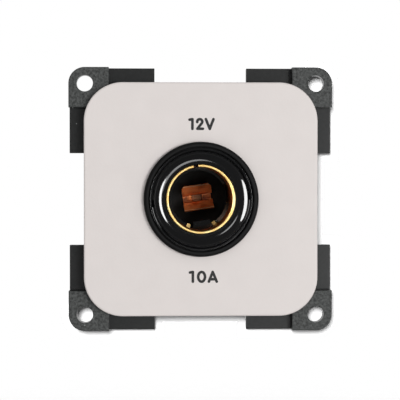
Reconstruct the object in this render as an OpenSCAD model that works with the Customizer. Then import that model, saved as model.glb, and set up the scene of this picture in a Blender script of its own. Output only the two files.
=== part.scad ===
// Panel socket for a small 12 V plug, in a square modular face plate on a four-eared frame.
// The model is drawn lying on the panel, front up, and is then stood upright, front toward -Y.

/* [Face plate] */
// Overlap of the plate over the collar's outer side
plate_lap = 1.6; // [1:0.1:2]
// Thickness of the plate
plate_t = 2; // [1.6:0.1:3]
// Corner radius of the plate, seen from the front
plate_corner_r = 7.5; // [7:0.1:9]
// Rounding of the plate's front edge
plate_edge_r = 0.35; // [0.1:0.05:0.8]
// Thickness of the locating rim behind the plate
rim_t = 1.2; // [0.8:0.1:1.6]
// Depth of the locating rim behind the plate
rim_depth = 2.6; // [1:0.1:4]
// Thickness of the ribs between the locating rim and the nut's seat
rib_t = 1; // [0.6:0.1:1.6]
// Depth of the ribs
rib_depth = 1.4; // [0.6:0.1:2]

/* [Snap legs] */
// Width of a snap leg
leg_w = 7; // [5:0.5:9]
// Reach of a snap leg behind the plate
leg_len = 9; // [7:0.5:11]
// Thickness of a snap leg
leg_t = 1.3; // [1:0.1:1.6]
// Reach of the hook into its window
hook_len = 1; // [0.6:0.1:1.2]
// Height of the hook's square catch
hook_catch = 0.8; // [0.5:0.1:1.2]
// Height of the hook's lead-in slope
hook_slope = 2; // [1:0.1:2.5]

/* [Support frame] */
// Spacing of the screw holes, across and up
hole_pitch = 45; // [44.8:0.1:46]
// Diameter of a screw hole
hole_d = 3.2; // [2.8:0.1:3.6]
// Wall outside a screw hole
ear_wall = 1.55; // [1.2:0.05:2]
// Length of an ear along each side
ear_len = 7.8; // [7:0.1:9]
// Thickness of an ear
ear_t = 3; // [2.4:0.1:4]
// Rounding of an ear's front edge
ear_edge_r = 0.25; // [0.1:0.05:0.5]
// Rounding of a side bar's front edge
bar_edge_r = 0.2; // [0.1:0.05:0.4]
// Thickness of a side bar
bar_t = 1.2; // [0.8:0.1:2]
// Length of the gap between the bars in the middle of each side
bar_gap = 17.9; // [14:0.1:22]
// Set-back of a bar's outer edge from the ear's
bar_inset = 0.15; // [0.05:0.05:0.5]
// Distance from the line of the screw holes in to the collar's outer side
collar_inset = 1.5; // [1.3:0.1:2]
// Wall of the collar
collar_wall = 1.4; // [1:0.1:1.8]
// Reach of the collar behind the panel's surface
collar_depth = 11; // [9:0.5:14]
// Distance from the plate's back to the collar's front edge
collar_drop = 0.6; // [0.6:0.1:1.2]
// Outer corner radius of the collar
collar_corner_r = 3; // [2:0.1:4]
// Rounding of the collar's rear edge
collar_edge_r = 0.5; // [0.2:0.1:1]
// Width of a crush rib on the collar
crush_w = 0.8; // [0.4:0.1:1.2]
// Height of a crush rib
crush_h = 0.3; // [0.1:0.1:0.5]

/* [Trim ring] */
// Width of the trim ring round the nose
trim_w = 1.03; // [0.9:0.01:1.6]
// Height of the trim ring over the plate
trim_h = 1.4; // [1:0.1:2]
// Rounding of the trim ring's outer edge
trim_edge_r = 0.6; // [0.2:0.1:0.8]
// Rounding of the trim ring's inner edge
trim_inner_r = 0.25; // [0.1:0.05:0.3]
// Thickness of the lip held under the nose
trim_lip_t = 0.4; // [0.3:0.1:0.6]

/* [Socket body] */
// Overlap of the nose past the plate's hole
nose_lap = 0.7; // [0.6:0.05:1]
// Thickness of the nose over the trim ring's lip
nose_t = 0.9; // [0.7:0.1:1.2]
// Rounding of the nose's outer edge
nose_edge_r = 0.15; // [0.1:0.05:0.25]
// Height of the straight lip at the mouth
mouth_lip = 0.1; // [0.05:0.05:0.3]
// Width of the flat lip round the dished mouth
lip_w = 0.3; // [0.2:0.05:0.5]
// Depth of the dished mouth
dish_depth = 2; // [1.4:0.1:2.4]
// Depth of the recess round the sleeve's front edge
moat_depth = 0.8; // [0.4:0.1:1.5]
// Width of the recess round the sleeve's front edge
moat_w = 0.5; // [0.3:0.05:0.8]
// Wall of the barrel between the thread's root and the base
barrel_wall = 0.95; // [0.8:0.05:1.4]
// Thread pitch
thread_pitch = 1; // [0.8:0.1:1.5]
// Depth of the thread
thread_depth = 0.5; // [0.3:0.05:0.6]
// Length of the threaded stretch behind the plate
thread_len = 13; // [10:0.5:15]
// Width of the shoulder behind the sleeve, where the chamber round the clip starts
shoulder_w = 0.6; // [0.4:0.05:0.8]
// Room between the sleeve's back edge and the shoulder
shoulder_gap = 0.2; // [0.1:0.05:0.4]
// Length of the chamber behind the sleeve
chamber_len = 11; // [10.5:0.5:14]
// Width of the key that stops the plug
key_w = 3.5; // [3:0.1:4.4]
// Height of the key over the chamber's wall
key_h = 1.1; // [0.5:0.1:1.3]
// Distance from the sleeve's back to the key
key_gap = 0.5; // [0.2:0.1:1]
// Length of the key
key_len = 4; // [2:0.5:6]
// Turn of the whole socket in its hole, from upright
core_turn = 8.2; // [0:0.1:45]

/* [Contact sleeve] */
// Inner diameter of the sleeve, which takes the plug
sleeve_bore_d = 12.4; // [12.2:0.05:12.6]
// Wall of the sleeve
sleeve_wall = 0.6; // [0.5:0.05:0.7]
// Bevel on the edges of the sleeve's front
sleeve_bevel = 0.12; // [0.04:0.02:0.2]
// Height of the sleeve's front over the recess round it
sleeve_rise = 0.4; // [0.2:0.1:0.6]
// Length of the sleeve
sleeve_len = 12; // [10:0.5:13]
// Width of the split along the sleeve
split_w = 0.9; // [0.4:0.1:1.5]
// Half angle from the key's centre line to a lug's near edge
lug_start = 20; // [18:1:30]
// Angle that a lug spans
lug_span = 12; // [10:1:24]
// Reach of a bent lug over the base
lug_bend = 1.6; // [1:0.1:2]
// Outward step of the lugs and the tail from the sleeve's wall
joggle = 0.2; // [0.18:0.02:0.3]
// Length over which the lugs and the tail step outward
joggle_len = 0.5; // [0.3:0.1:1]
// Width of the tail that feeds the sleeve
tail_w = 3.8; // [3:0.1:4.4]

/* [Centre clip] */
// Width of the clip's leaves
clip_w = 6.1; // [5:0.1:6.6]
// Thickness of the clip's strip
clip_t = 0.4; // [0.3:0.05:0.5]
// Length of the clip, from the base to its mouth
clip_len = 6.2; // [5.4:0.1:7]
// Width of the clip's foot
foot_w = 4.4; // [4:0.1:5]
// Half height of the foot, between the leaves' outer faces
foot_half = 2; // [1.8:0.05:2.4]
// Opening between the leaves at the throat
throat_gap = 1; // [0.6:0.1:1.4]
// Height of the flared mouth over the throat, upper leaf
flare_up = 2.15; // [1.4:0.05:2.4]
// Height of the flared mouth under the throat, lower leaf
flare_down = 1.9; // [1.2:0.05:2.2]
// Length of the flared mouth
flare_len = 1.5; // [1:0.1:2]
// Cut-off corner of the upper leaf
corner_cut = 0.9; // [0.4:0.1:1.2]
// Height over which the clip keeps its foot's width
foot_rise = 1.9; // [1:0.1:2.4]
// Reach of each bend along the clip's strip
bend_len = 0.6; // [0.4:0.05:0.8]

/* [Base and terminals] */
// Width of the insulating base outside its grooves
base_rim = 0.3; // [0.2:0.05:0.6]
// Thickness of the base
base_t = 3; // [2.4:0.1:4]
// Width of a blade
blade_w = 6.3; // [4.8:0.1:6.3]
// Thickness of a blade
blade_t = 0.8; // [0.5:0.1:1]
// Length of a blade behind its foot
blade_len = 8; // [7:0.1:10]
// Diameter of the hole in a blade
blade_hole_d = 1.7; // [1.4:0.1:2]
// Cut-off corner at a blade's tip
blade_cut = 1; // [0.4:0.1:1.5]
// Distance from the centre rivet to the centre blade's outer face
centre_foot = 3.8; // [3:0.1:4.2]
// Distance of the earth rivet from the sleeve's inner wall
rivet_inset = 1.85; // [1.7:0.05:1.9]
// Shank diameter of a rivet
rivet_d = 1.4; // [1.2:0.1:1.6]
// Head diameter of a rivet
rivet_head_d = 2.2; // [2:0.1:2.4]
// Height of a rivet's head
rivet_head_h = 0.5; // [0.3:0.1:0.7]
// Depth of the earth rivet's head under the base's front
head_cover = 0.3; // [0.1:0.1:0.6]
// Metal beyond the centre rivet's head at the end of its terminal's foot
foot_end = 0.4; // [0.2:0.1:1]

/* [Nut and washer] */
// Wall of the nut at the middle of a flat
nut_wall = 1.85; // [1.5:0.05:2.8]
// Height of the nut
nut_h = 4; // [3:0.5:6]
// Width of the washer
washer_w = 2.85; // [2:0.05:3.2]
// Thickness of the washer
washer_t = 0.8; // [0.6:0.1:1.2]

/* [Fits] */
// Clearance on each side of the locating rim inside the collar
rim_fit = 0.15; // [0.1:0.05:0.3]
// Clearance round the hooks in their windows
window_fit = 0.25; // [0.15:0.05:0.4]
// Clearance round the barrel where a piece slips over it
barrel_fit = 0.15; // [0.1:0.05:0.3]
// Clearance between the nose and the trim ring
nose_fit = 0.22; // [0.15:0.01:0.3]
// Clearance round the sleeve and its tails
sleeve_fit = 0.05; // [0.02:0.01:0.1]
// Clearance round a lug or the tail in its groove
groove_fit = 0.15; // [0.1:0.01:0.2]
// Clearance round a rivet's shank
rivet_fit = 0.05; // [0.02:0.01:0.1]
// Clearance round the base in the barrel
base_fit = 0.1; // [0.05:0.05:0.2]
// Room between the nut's seat and the plate's ribs
seat_room = 0.6; // [0.3:0.1:1]

/* [Hidden] */
$fn = 96;

// Steps in the arc of a small rounded edge
arc_steps = 6;
// Overlap that lets a cut run past the surface it cuts
past = 1;
// Depth that a moulded rib sinks into the wall that carries it
sink = 0.5;
// Shares of the pitch that the thread's flank and its crest take
flank_share = 0.4;
crest_share = 0.1;

// Heights over the panel, toward the front
plate_back = ear_t;
plate_front = plate_back + plate_t;
nose_back = plate_front + trim_lip_t;
nose_front = nose_back + nose_t;
dish_floor = nose_front - dish_depth;
moat_floor = dish_floor - moat_depth;
sleeve_front = moat_floor + sleeve_rise;
sleeve_back = sleeve_front - sleeve_len;
shoulder_back = sleeve_back - shoulder_gap;
base_front = sleeve_back - chamber_len;
base_back = base_front - base_t;
washer_back = plate_back - washer_t;
nut_back = washer_back - nut_h;

// Half sizes and radii
ear_r = hole_d / 2 + ear_wall;
ear_out = hole_pitch / 2 + ear_r;
bar_out = ear_out - bar_inset;
bar_end = bar_gap / 2;
collar_half = hole_pitch / 2 - collar_inset;
collar_in = collar_half - collar_wall;
collar_front = plate_back - collar_drop;
plate_half = collar_half + plate_lap;
rim_half = collar_in - rim_fit;
sleeve_in = sleeve_bore_d / 2;
sleeve_out = sleeve_in + sleeve_wall;
sleeve_hole_r = sleeve_out + sleeve_fit;
lug_in = sleeve_in + joggle;
lug_out = sleeve_out + joggle;
groove_r = lug_out + groove_fit;
slot_in = lug_in - groove_fit;
chamber_r = sleeve_in - shoulder_w;
key_r = chamber_r - key_h;
base_r = groove_r + base_rim;
seat_r = base_r + base_fit;
root_r = seat_r + barrel_wall;
barrel_r = root_r + thread_depth;
barrel_hole_r = barrel_r + barrel_fit;
nose_r = barrel_hole_r + nose_lap;
mouth_r = nose_r - lip_w;
dish_r = sleeve_hole_r + moat_w;
trim_in = nose_r + nose_fit;
trim_r = trim_in + trim_w;
earth_rivet_r = sleeve_in - rivet_inset;
washer_r = barrel_hole_r + washer_w;
nut_flat_r = barrel_hole_r + nut_wall;
rivet_hole_r = rivet_d / 2 + rivet_fit;
nut_corner_r = nut_flat_r / cos(30);
rib_start = max(washer_r, nut_corner_r) + seat_room;
hook_front = plate_back - leg_len + hook_slope + hook_catch;
hook_back = hook_front - hook_catch - hook_slope;

// Angles round the socket, before its turn: the key is at the bottom and the tail at the right
KEY_AT = 270;
TAIL_AT = 0;
LUG_STARTS = [KEY_AT + lug_start, KEY_AT - lug_start - lug_span];
// Angle that holds the tail's whole width, and room on each side of a lug
lug_room = 1;
tail_span = 2 * asin((tail_w / 2 + groove_fit) / slot_in) + 2 * lug_room;
// Depth that sinks the earth rivet's head under the base's front
head_sink = rivet_head_h + head_cover;

// Quarter-round points from one side of an edge to the other, in a profile of radius and height
function edge_arc(cx, cy, r, from, to) = [
    for (i = [0 : arc_steps]) let (a = from + (to - from) * i / arc_steps)
        [cx + r * cos(a), cy + r * sin(a)]
];

// Strip of even thickness along a path: one side out, the other side back
function unit(v) = v / norm(v);
function left_of(v) = [-v[1], v[0]];
function path_normal(p, i) =
    i == 0 ? left_of(unit(p[1] - p[0])) :
    i == len(p) - 1 ? left_of(unit(p[i] - p[i - 1])) :
    let (before = left_of(unit(p[i] - p[i - 1])), after = left_of(unit(p[i + 1] - p[i])))
    let (middle = unit(before + after)) middle / (middle * before);
function strip(p, t) = concat(
    [for (i = [0 : len(p) - 1]) p[i] + path_normal(p, i) * t / 2],
    [for (i = [len(p) - 1 : -1 : 0]) p[i] - path_normal(p, i) * t / 2]);

// Smooth bend that takes the place of corner b between a and c
function bend(a, b, c, reach) = [
    for (i = [0 : arc_steps])
        let (t = i / arc_steps, from = b + unit(a - b) * reach, to = b + unit(c - b) * reach)
        (1 - t) * (1 - t) * from + 2 * t * (1 - t) * b + t * t * to
];

// Stands the model upright, with the front toward -Y
module upright() {
    rotate([90, 0, 0]) children();
}

// Turns the socket's own pieces in their hole
module turned() {
    upright() rotate([0, 0, core_turn]) children();
}

// One copy of the children at each quarter turn
module four_times() {
    for (quarter = [0 : 3]) rotate([0, 0, 90 * quarter]) children();
}

// Square outline with round corners, centred on the axis
module round_square(half, r) {
    inner = half - r;
    square([2 * half, 2 * inner], center = true);
    square([2 * inner, 2 * half], center = true);
    for (x = [-inner, inner], y = [-inner, inner]) translate([x, y]) circle(r);
}

// Square slab with round corners and a rounded front edge, standing on height z
module edged_slab(half, r, t, edge_r) {
    inner = half - r;
    profile = concat([[0, 0], [r, 0]], edge_arc(r - edge_r, t - edge_r, edge_r, 0, 90), [[0, t]]);
    translate([-inner, -inner, 0]) cube([2 * inner, 2 * inner, t]);
    four_times() {
        translate([inner, inner, 0]) rotate_extrude(angle = 90) polygon(profile);
        translate([inner, inner, 0]) rotate([90, 0, 0]) linear_extrude(2 * inner) polygon(profile);
    }
}

// Ring cut by two angles, with its profile given as radius and height
module sector(from, span, inner_r, outer_r, back, front) {
    rotate([0, 0, from]) translate([0, 0, back]) rotate_extrude(angle = span)
        translate([inner_r, 0]) square([outer_r - inner_r, front - back]);
}

// Keeps only what of its children lies in the four corners, outside a distance from each middle line
module corners_only(from, back, front) {
    reach = 2 * ear_out;
    difference() {
        children();
        translate([-from, -reach, back - past]) cube([2 * from, 2 * reach, front - back + 2 * past]);
        translate([-reach, -from, back - past]) cube([2 * reach, 2 * from, front - back + 2 * past]);
    }
}

// Four ears with rounded outer corners and soft outer edges, all cut from one slab
module ears() {
    corners_only(ear_out - ear_len, 0, ear_t) edged_slab(ear_out, ear_r, ear_t, ear_edge_r);
}

// Eight low bars beside the ears, all cut from a thinner and slightly smaller slab
module side_bars() {
    corners_only(bar_end, 0, bar_t) edged_slab(bar_out, ear_r - bar_inset, bar_t, bar_edge_r);
}

// Ribs that grip the panel's cut-out, at the ends of the bars on the right side
module crush_ribs() {
    start = collar_half - collar_wall / 2;
    for (side = [-1, 1])
        translate([start, side * (bar_end + crush_w) - crush_w / 2, collar_edge_r - collar_depth])
            cube([collar_wall / 2 + crush_h, crush_w, collar_depth - collar_edge_r]);
}

// Dark moulded frame: ears and bars on the panel, collar through it
module support_frame() {
    window_w = leg_w + 2 * window_fit;
    window_back = hook_back - window_fit;
    color([0.2, 0.21, 0.21]) upright() difference() {
        union() {
            mirror([0, 0, 1]) translate([0, 0, -collar_front])
                edged_slab(collar_half, collar_corner_r, collar_depth + collar_front, collar_edge_r);
            ears();
            side_bars();
            four_times() crush_ribs();
        }
        translate([0, 0, -collar_depth - past]) linear_extrude(collar_depth + ear_t + 2 * past)
            round_square(collar_in, collar_corner_r - collar_wall);
        four_times() {
            translate([hole_pitch / 2, hole_pitch / 2, -past]) cylinder(h = ear_t + 2 * past, d = hole_d);
            translate([collar_in - past, -window_w / 2, window_back])
                cube([collar_wall + 2 * past, window_w, hook_front + window_fit - window_back]);
        }
    }
}

// Snap leg on the plate's right side, with its hook toward the collar
module snap_leg() {
    profile = [
        [rim_half - leg_t, plate_back], [rim_half - leg_t, hook_back], [rim_half, hook_back],
        [collar_in + hook_len, hook_front - hook_catch], [collar_in + hook_len, hook_front],
        [rim_half, hook_front], [rim_half, plate_back]
    ];
    translate([0, leg_w / 2, 0]) rotate([90, 0, 0]) linear_extrude(leg_w) polygon(profile);
}

// Light grey plate that snaps on the frame and carries the socket
module face_plate() {
    rim_corner_r = collar_corner_r - collar_wall;
    color([0.88, 0.85, 0.84]) upright() difference() {
        union() {
            translate([0, 0, plate_back]) edged_slab(plate_half, plate_corner_r, plate_t, plate_edge_r);
            translate([0, 0, plate_back - rim_depth]) linear_extrude(rim_depth + plate_t / 2) difference() {
                round_square(rim_half, rim_corner_r);
                round_square(rim_half - rim_t, rim_corner_r);
            }
            four_times() {
                snap_leg();
                rotate([0, 0, 45]) translate([rib_start, -rib_t / 2, plate_back - rib_depth])
                    cube([rim_half * sqrt(2) - rim_corner_r - rib_start, rib_t, rib_depth + plate_t / 2]);
            }
        }
        translate([0, 0, plate_back - leg_len]) cylinder(h = leg_len + plate_t + past, r = barrel_hole_r);
    }
}

// Black ring round the nose, held by its lip
module trim_ring() {
    profile = concat(
        [[barrel_hole_r, 0], [trim_r, 0]],
        edge_arc(trim_r - trim_edge_r, trim_h - trim_edge_r, trim_edge_r, 0, 90),
        edge_arc(trim_in + trim_inner_r, trim_h - trim_inner_r, trim_inner_r, 90, 180),
        [[trim_in, trim_lip_t], [barrel_hole_r, trim_lip_t]]
    );
    color([0.06, 0.06, 0.065]) upright() translate([0, 0, plate_front]) rotate_extrude() polygon(profile);
}

// Outline of the thread, as even ridges down the barrel
function thread_points() = [
    for (turn = [0 : floor(thread_len / thread_pitch) - 1], step = [0 : 3])
        let (z = plate_back - turn * thread_pitch)
        step == 0 ? [root_r, z] :
        step == 1 ? [barrel_r, z - flank_share * thread_pitch] :
        step == 2 ? [barrel_r, z - (flank_share + crest_share) * thread_pitch] :
        [root_r, z - (2 * flank_share + crest_share) * thread_pitch]
];

// Dished mouth from its lip down to its foot, as an arc that is steep at the lip
function dish_points() = [
    for (i = [0 : 2 * arc_steps]) let (a = 90 * i / (2 * arc_steps))
        [dish_r + (mouth_r - dish_r) * cos(a),
            nose_front - mouth_lip - (dish_depth - mouth_lip) * sin(a)]
];

// Room for the sleeve's tail, from an inner radius out to the grooves' depth
module tail_slot(inner_r, back, front) {
    width = tail_w + 2 * groove_fit;
    intersection() {
        sector(TAIL_AT - tail_span / 2, tail_span, inner_r, groove_r, back, front);
        translate([0, -width / 2, back]) cube([groove_r + past, width, front - back]);
    }
}

// Black moulding: nose, dish, threaded barrel, chamber and key
module socket_body() {
    outline = concat(
        [[nose_r, nose_back]],
        edge_arc(nose_r - nose_edge_r, nose_front - nose_edge_r, nose_edge_r, 0, 90),
        dish_points(),
        [[dish_r, moat_floor], [sleeve_hole_r, moat_floor], [sleeve_hole_r, shoulder_back],
        [chamber_r, shoulder_back], [chamber_r, base_front], [seat_r, base_front], [seat_r, base_back],
        [root_r, base_back]],
        [for (p = [len(thread_points()) - 1 : -1 : 0]) thread_points()[p]],
        [[barrel_r, plate_back], [barrel_r, nose_back]]
    );
    color([0.07, 0.07, 0.075]) turned() {
        difference() {
            rotate_extrude() polygon(outline);
            for (start = LUG_STARTS)
                sector(start - lug_room, lug_span + 2 * lug_room, 0, groove_r,
                    base_front - past, sleeve_back);
            tail_slot(0, base_front - past, sleeve_back);
        }
        intersection() {
            translate([-key_w / 2, -sleeve_hole_r, sleeve_back - key_gap - key_len])
                cube([key_w, sleeve_hole_r - key_r, key_len]);
            translate([0, 0, base_front]) cylinder(h = chamber_len, r = chamber_r + sink);
        }
    }
}

// Hexagon nut on the barrel, with its corners turned off
module ring_nut() {
    turn_off = nut_corner_r - nut_flat_r;
    profile = [
        [barrel_hole_r, 0], [nut_flat_r, 0], [nut_corner_r, turn_off * tan(30)],
        [nut_corner_r, nut_h], [barrel_hole_r, nut_h]
    ];
    color([0.12, 0.12, 0.12]) upright() translate([0, 0, nut_back]) intersection() {
        rotate_extrude() polygon(profile);
        cylinder(h = nut_h, r = nut_corner_r, $fn = 6);
    }
}

// Washer between the nut and the plate
module clamp_washer() {
    color([0.7, 0.7, 0.7]) upright() translate([0, 0, washer_back]) difference() {
        cylinder(h = washer_t, r = washer_r);
        translate([0, 0, -past]) cylinder(h = washer_t + 2 * past, r = barrel_hole_r);
    }
}

// Split brass sleeve, rolled from one strip: two lugs are bent over the base and a tail feeds the terminal
module contact_sleeve() {
    split_half = asin(split_w / 2 / sleeve_in);
    bottom = base_back - sleeve_wall;
    foot_in = earth_rivet_r - rivet_head_d / 2;
    step_to = sleeve_back - joggle_len;
    profile = [
        [lug_out, bottom], [lug_out, step_to], [sleeve_out, sleeve_back],
        [sleeve_out, sleeve_front - sleeve_bevel], [sleeve_out - sleeve_bevel, sleeve_front],
        [sleeve_in + sleeve_bevel, sleeve_front], [sleeve_in, sleeve_front - sleeve_bevel],
        [sleeve_in, sleeve_back], [lug_in, step_to], [lug_in, base_back],
        [foot_in, base_back], [foot_in, bottom]
    ];
    color([0.85, 0.65, 0.25]) turned() difference() {
        rotate([0, 0, 90]) rotate_extrude() polygon(profile);
        sector(90 - split_half, 2 * split_half, 0, sleeve_out + past,
            sleeve_back - past, sleeve_front + past);
        difference() {
            translate([0, 0, bottom - past])
                cylinder(h = sleeve_back - bottom + past, r = lug_out + past);
            translate([0, -tail_w / 2, bottom - 2 * past])
                cube([lug_out + 2 * past, tail_w, sleeve_back - bottom + 3 * past]);
            for (start = LUG_STARTS)
                sector(start, lug_span, lug_in - lug_bend, lug_out + 2 * past,
                    bottom - 2 * past, sleeve_back + past);
        }
        translate([earth_rivet_r, 0, bottom - past])
            cylinder(h = sleeve_wall + 2 * past, r = rivet_hole_r);
    }
}

// Insulating disc that closes the barrel
module contact_base() {
    color([0.09, 0.085, 0.08]) turned() difference() {
        translate([0, 0, base_back]) cylinder(h = base_t, r = base_r);
        for (start = LUG_STARTS)
            sector(start - lug_room, lug_span + 2 * lug_room, slot_in, groove_r,
                base_back - past, base_front + past);
        tail_slot(slot_in, base_back - past, base_front + past);
        for (x = [0, earth_rivet_r])
            translate([x, 0, base_back - past]) cylinder(h = base_t + 2 * past, r = rivet_hole_r);
        translate([earth_rivet_r, 0, base_front - head_sink])
            cylinder(h = head_sink + past, r = rivet_head_d / 2 + rivet_fit);
    }
}

// Path of one leaf, from the middle of the foot to the mouth, as height from the axis and depth
function leaf_path(flare) =
    let (half_t = clip_t / 2, high = base_front + clip_len, foot = [0, base_front + half_t])
    let (heel = [foot_half - half_t, base_front + half_t])
    let (throat = [throat_gap / 2 + half_t, high - flare_len])
    let (mouth = [throat[0] + flare - half_t, high - half_t])
    concat([foot], bend(foot, heel, throat, bend_len), bend(heel, throat, mouth, bend_len), [mouth]);

// Copper clip: two leaves that meet at a throat and flare at the mouth
module centre_clip() {
    upper = leaf_path(flare_up);
    lower = [for (p = leaf_path(flare_down)) [-p[0], p[1]]];
    path = concat(
        [for (i = [len(lower) - 1 : -1 : 1]) lower[i]],
        [for (i = [1 : len(upper) - 1]) upper[i]]
    );
    mouth = base_front + clip_len;
    color([0.72, 0.36, 0.16]) turned() difference() {
        rotate([90, 0, 90]) translate([0, 0, -clip_w / 2])
            linear_extrude(clip_w) polygon(strip(path, clip_t));
        for (side = [-1, 1]) {
            translate([side * (clip_w / 2 + foot_w / 2) - clip_w / 2, -clip_w, base_front - past])
                cube([clip_w, 2 * clip_w, past + foot_rise]);
            translate([side * clip_w / 2, throat_gap / 2 + flare_up + clip_t, mouth - flare_len])
                rotate([0, 0, 45])
                cube([corner_cut * sqrt(2), corner_cut * sqrt(2), 2 * flare_len + 2 * past], center = true);
        }
        translate([0, 0, base_front - past]) cylinder(h = past + clip_t + past, r = rivet_hole_r);
    }
}

// Rivet through a stack from one height to another, headed at both ends
module rivet(x, front, back) {
    translate([x, 0, back]) cylinder(h = front - back, d = rivet_d);
    translate([x, 0, front]) cylinder(h = rivet_head_h, d = rivet_head_d);
    translate([x, 0, back - rivet_head_h]) cylinder(h = rivet_head_h, d = rivet_head_d);
}

// Rivet that joins the clip, the base and the centre terminal
module centre_rivet() {
    color([0.8, 0.68, 0.4]) turned() rivet(0, base_front + clip_t, base_back - blade_t);
}

// Rivet that joins the base, the sleeve's tail and the earth terminal
module earth_rivet() {
    color([0.8, 0.68, 0.4]) turned()
        rivet(earth_rivet_r, base_front - head_sink, base_back - sleeve_wall - blade_t);
}

// Flat blade bent from a foot that holds a rivet, with the foot's front face at height z
module terminal(rivet_x, foot_from, foot_to, blade_from, z) {
    difference() {
        union() {
            translate([min(foot_from, foot_to), -foot_w / 2, z - blade_t])
                cube([abs(foot_to - foot_from), foot_w, blade_t]);
            translate([blade_from, -blade_w / 2, z - blade_t - blade_len]) difference() {
                cube([blade_t, blade_w, blade_len + blade_t]);
                for (side = [0, blade_w]) translate([blade_t / 2, side, 0]) rotate([45, 0, 0])
                    cube([blade_t + past, blade_cut * sqrt(2), blade_cut * sqrt(2)], center = true);
                translate([-past, blade_w / 2, blade_len / 2]) rotate([0, 90, 0])
                    cylinder(h = blade_t + 2 * past, d = blade_hole_d);
            }
        }
        translate([rivet_x, 0, z - blade_t - past]) cylinder(h = blade_t + 2 * past, r = rivet_hole_r);
    }
}

// Blade joined to the clip
module centre_terminal() {
    color([0.78, 0.76, 0.7]) turned()
        terminal(0, -centre_foot, rivet_head_d / 2 + foot_end, -centre_foot, base_back);
}

// Blade joined to the sleeve
module earth_terminal() {
    foot_in = earth_rivet_r - rivet_head_d / 2;
    color([0.78, 0.76, 0.7]) turned()
        terminal(earth_rivet_r, foot_in, lug_out, lug_out - blade_t, base_back - sleeve_wall);
}

support_frame();
face_plate();
trim_ring();
socket_body();
ring_nut();
clamp_washer();
contact_sleeve();
contact_base();
centre_clip();
centre_rivet();
centre_terminal();
earth_terminal();
earth_rivet();
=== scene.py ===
"""Small 12 V plug socket in a square modular face plate, modelled and dressed round its CAD frame.

Every piece is drawn lying on the panel in millimetres (x right, y up, z toward the viewer) and is then
stood upright in metres, front toward -Y, where the CAD node that it replaces lies.
"""
import logging
import math
from collections.abc import Callable, Sequence
from dataclasses import dataclass
from enum import Enum
from typing import Any

import bmesh
import bpy
from mathutils import Matrix, Vector


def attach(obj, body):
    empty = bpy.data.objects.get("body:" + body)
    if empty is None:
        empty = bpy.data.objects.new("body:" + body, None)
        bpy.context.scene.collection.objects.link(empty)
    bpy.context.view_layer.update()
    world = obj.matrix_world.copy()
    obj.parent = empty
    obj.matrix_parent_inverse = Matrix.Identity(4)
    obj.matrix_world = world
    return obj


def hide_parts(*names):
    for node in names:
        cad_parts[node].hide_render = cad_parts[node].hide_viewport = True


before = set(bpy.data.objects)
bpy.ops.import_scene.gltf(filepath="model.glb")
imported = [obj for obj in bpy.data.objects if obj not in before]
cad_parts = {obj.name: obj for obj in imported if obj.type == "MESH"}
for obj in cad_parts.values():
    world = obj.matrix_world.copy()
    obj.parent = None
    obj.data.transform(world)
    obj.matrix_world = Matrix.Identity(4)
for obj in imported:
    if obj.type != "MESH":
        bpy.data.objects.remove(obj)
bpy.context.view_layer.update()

log = logging.getLogger("panel_socket")

Piece = bpy.types.Object
Tree = bpy.types.NodeTree
Socket = bpy.types.NodeSocket
Point = tuple[float, float]
Test = Callable[[Vector, Vector], bool]

MM = 0.001
ROUND_STEPS = 144
PHOTO_PX = 400
# How far a cutting body reaches past what it cuts, and how near counts as the same place, in mm
PAST = 1.0
NEAR = 0.001
CLOSE = 0.01
# Cosine from which two directions count as the same
ALIGNED = 0.99


# Heights, radii, angles and thicknesses that several pieces share

@dataclass(frozen=True)
class Stack:
    """Heights over the panel, toward the front, in mm."""

    ear_front: float = 3.0
    plate_back: float = 3.0
    plate_front: float = 5.0
    nose_back: float = 5.4
    nose_front: float = 6.3
    dish_floor: float = 4.3
    moat_floor: float = 3.5
    sleeve_front: float = 3.9
    sleeve_back: float = -8.1
    shoulder: float = -8.3
    base_front: float = -19.1
    base_back: float = -22.1


@dataclass(frozen=True)
class Radii:
    """Radii in mm: the rivets' own, then those round the socket's axis, from its bore outward."""

    rivet_hole: float = 0.75
    rivet_head: float = 1.1
    chamber: float = 5.6
    sleeve_in: float = 6.2
    lug_in: float = 6.4
    sleeve_out: float = 6.8
    sleeve_hole: float = 6.85
    lug_out: float = 7.0
    groove: float = 7.15
    dish: float = 7.35
    base: float = 7.45
    base_seat: float = 7.55
    thread_root: float = 8.5
    barrel: float = 9.0
    barrel_hole: float = 9.15
    mouth: float = 9.55
    nose: float = 9.85
    trim_in: float = 10.07
    trim_out: float = 11.1


Z = Stack()
R = Radii()
# The core's turn in its plate, and where its lugs start, in degrees; then lengths in mm
CORE_TURN = 8.2
LUG_STARTS = (290.0, 238.0)
LUG_SPAN = 12.0
EARTH_RIVET_X = 4.35
EARTH_SINK = 0.8
SLEEVE_T = 0.6
CLIP_T = 0.4


# Modelling bench: small steps round Blender's own operators

class Pick(Enum):
    """Kind of mesh element that is selected in edit mode."""

    VERTS = "VERT"
    EDGES = "EDGE"
    FACES = "FACE"


class Join(Enum):
    """How a tool body acts on its target."""

    CUT = "DIFFERENCE"
    FUSE = "UNION"
    KEEP = "INTERSECT"


def isolate(piece: Piece | None = None) -> None:
    """Leaves edit mode, deselects everything and makes one piece the only selected and active one.

    Args:
        piece: The object to select, or None for an empty selection.
    """
    active = bpy.context.view_layer.objects.active
    if active is not None and active.mode != "OBJECT":
        bpy.ops.object.mode_set(mode="OBJECT")
    bpy.ops.object.select_all(action="DESELECT")
    if piece is not None:
        piece.select_set(True)
        bpy.context.view_layer.objects.active = piece


def edit(piece: Piece, kind: Pick, action: str = "SELECT") -> None:
    """Enters edit mode with all or none of a piece selected.

    Args:
        piece: The object to edit.
        kind: Which elements are selected.
        action: SELECT for all of them, DESELECT for none.
    """
    isolate(piece)
    bpy.ops.object.mode_set(mode="EDIT")
    bpy.ops.mesh.select_mode(type=kind.value)
    bpy.ops.mesh.select_all(action=action)


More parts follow.
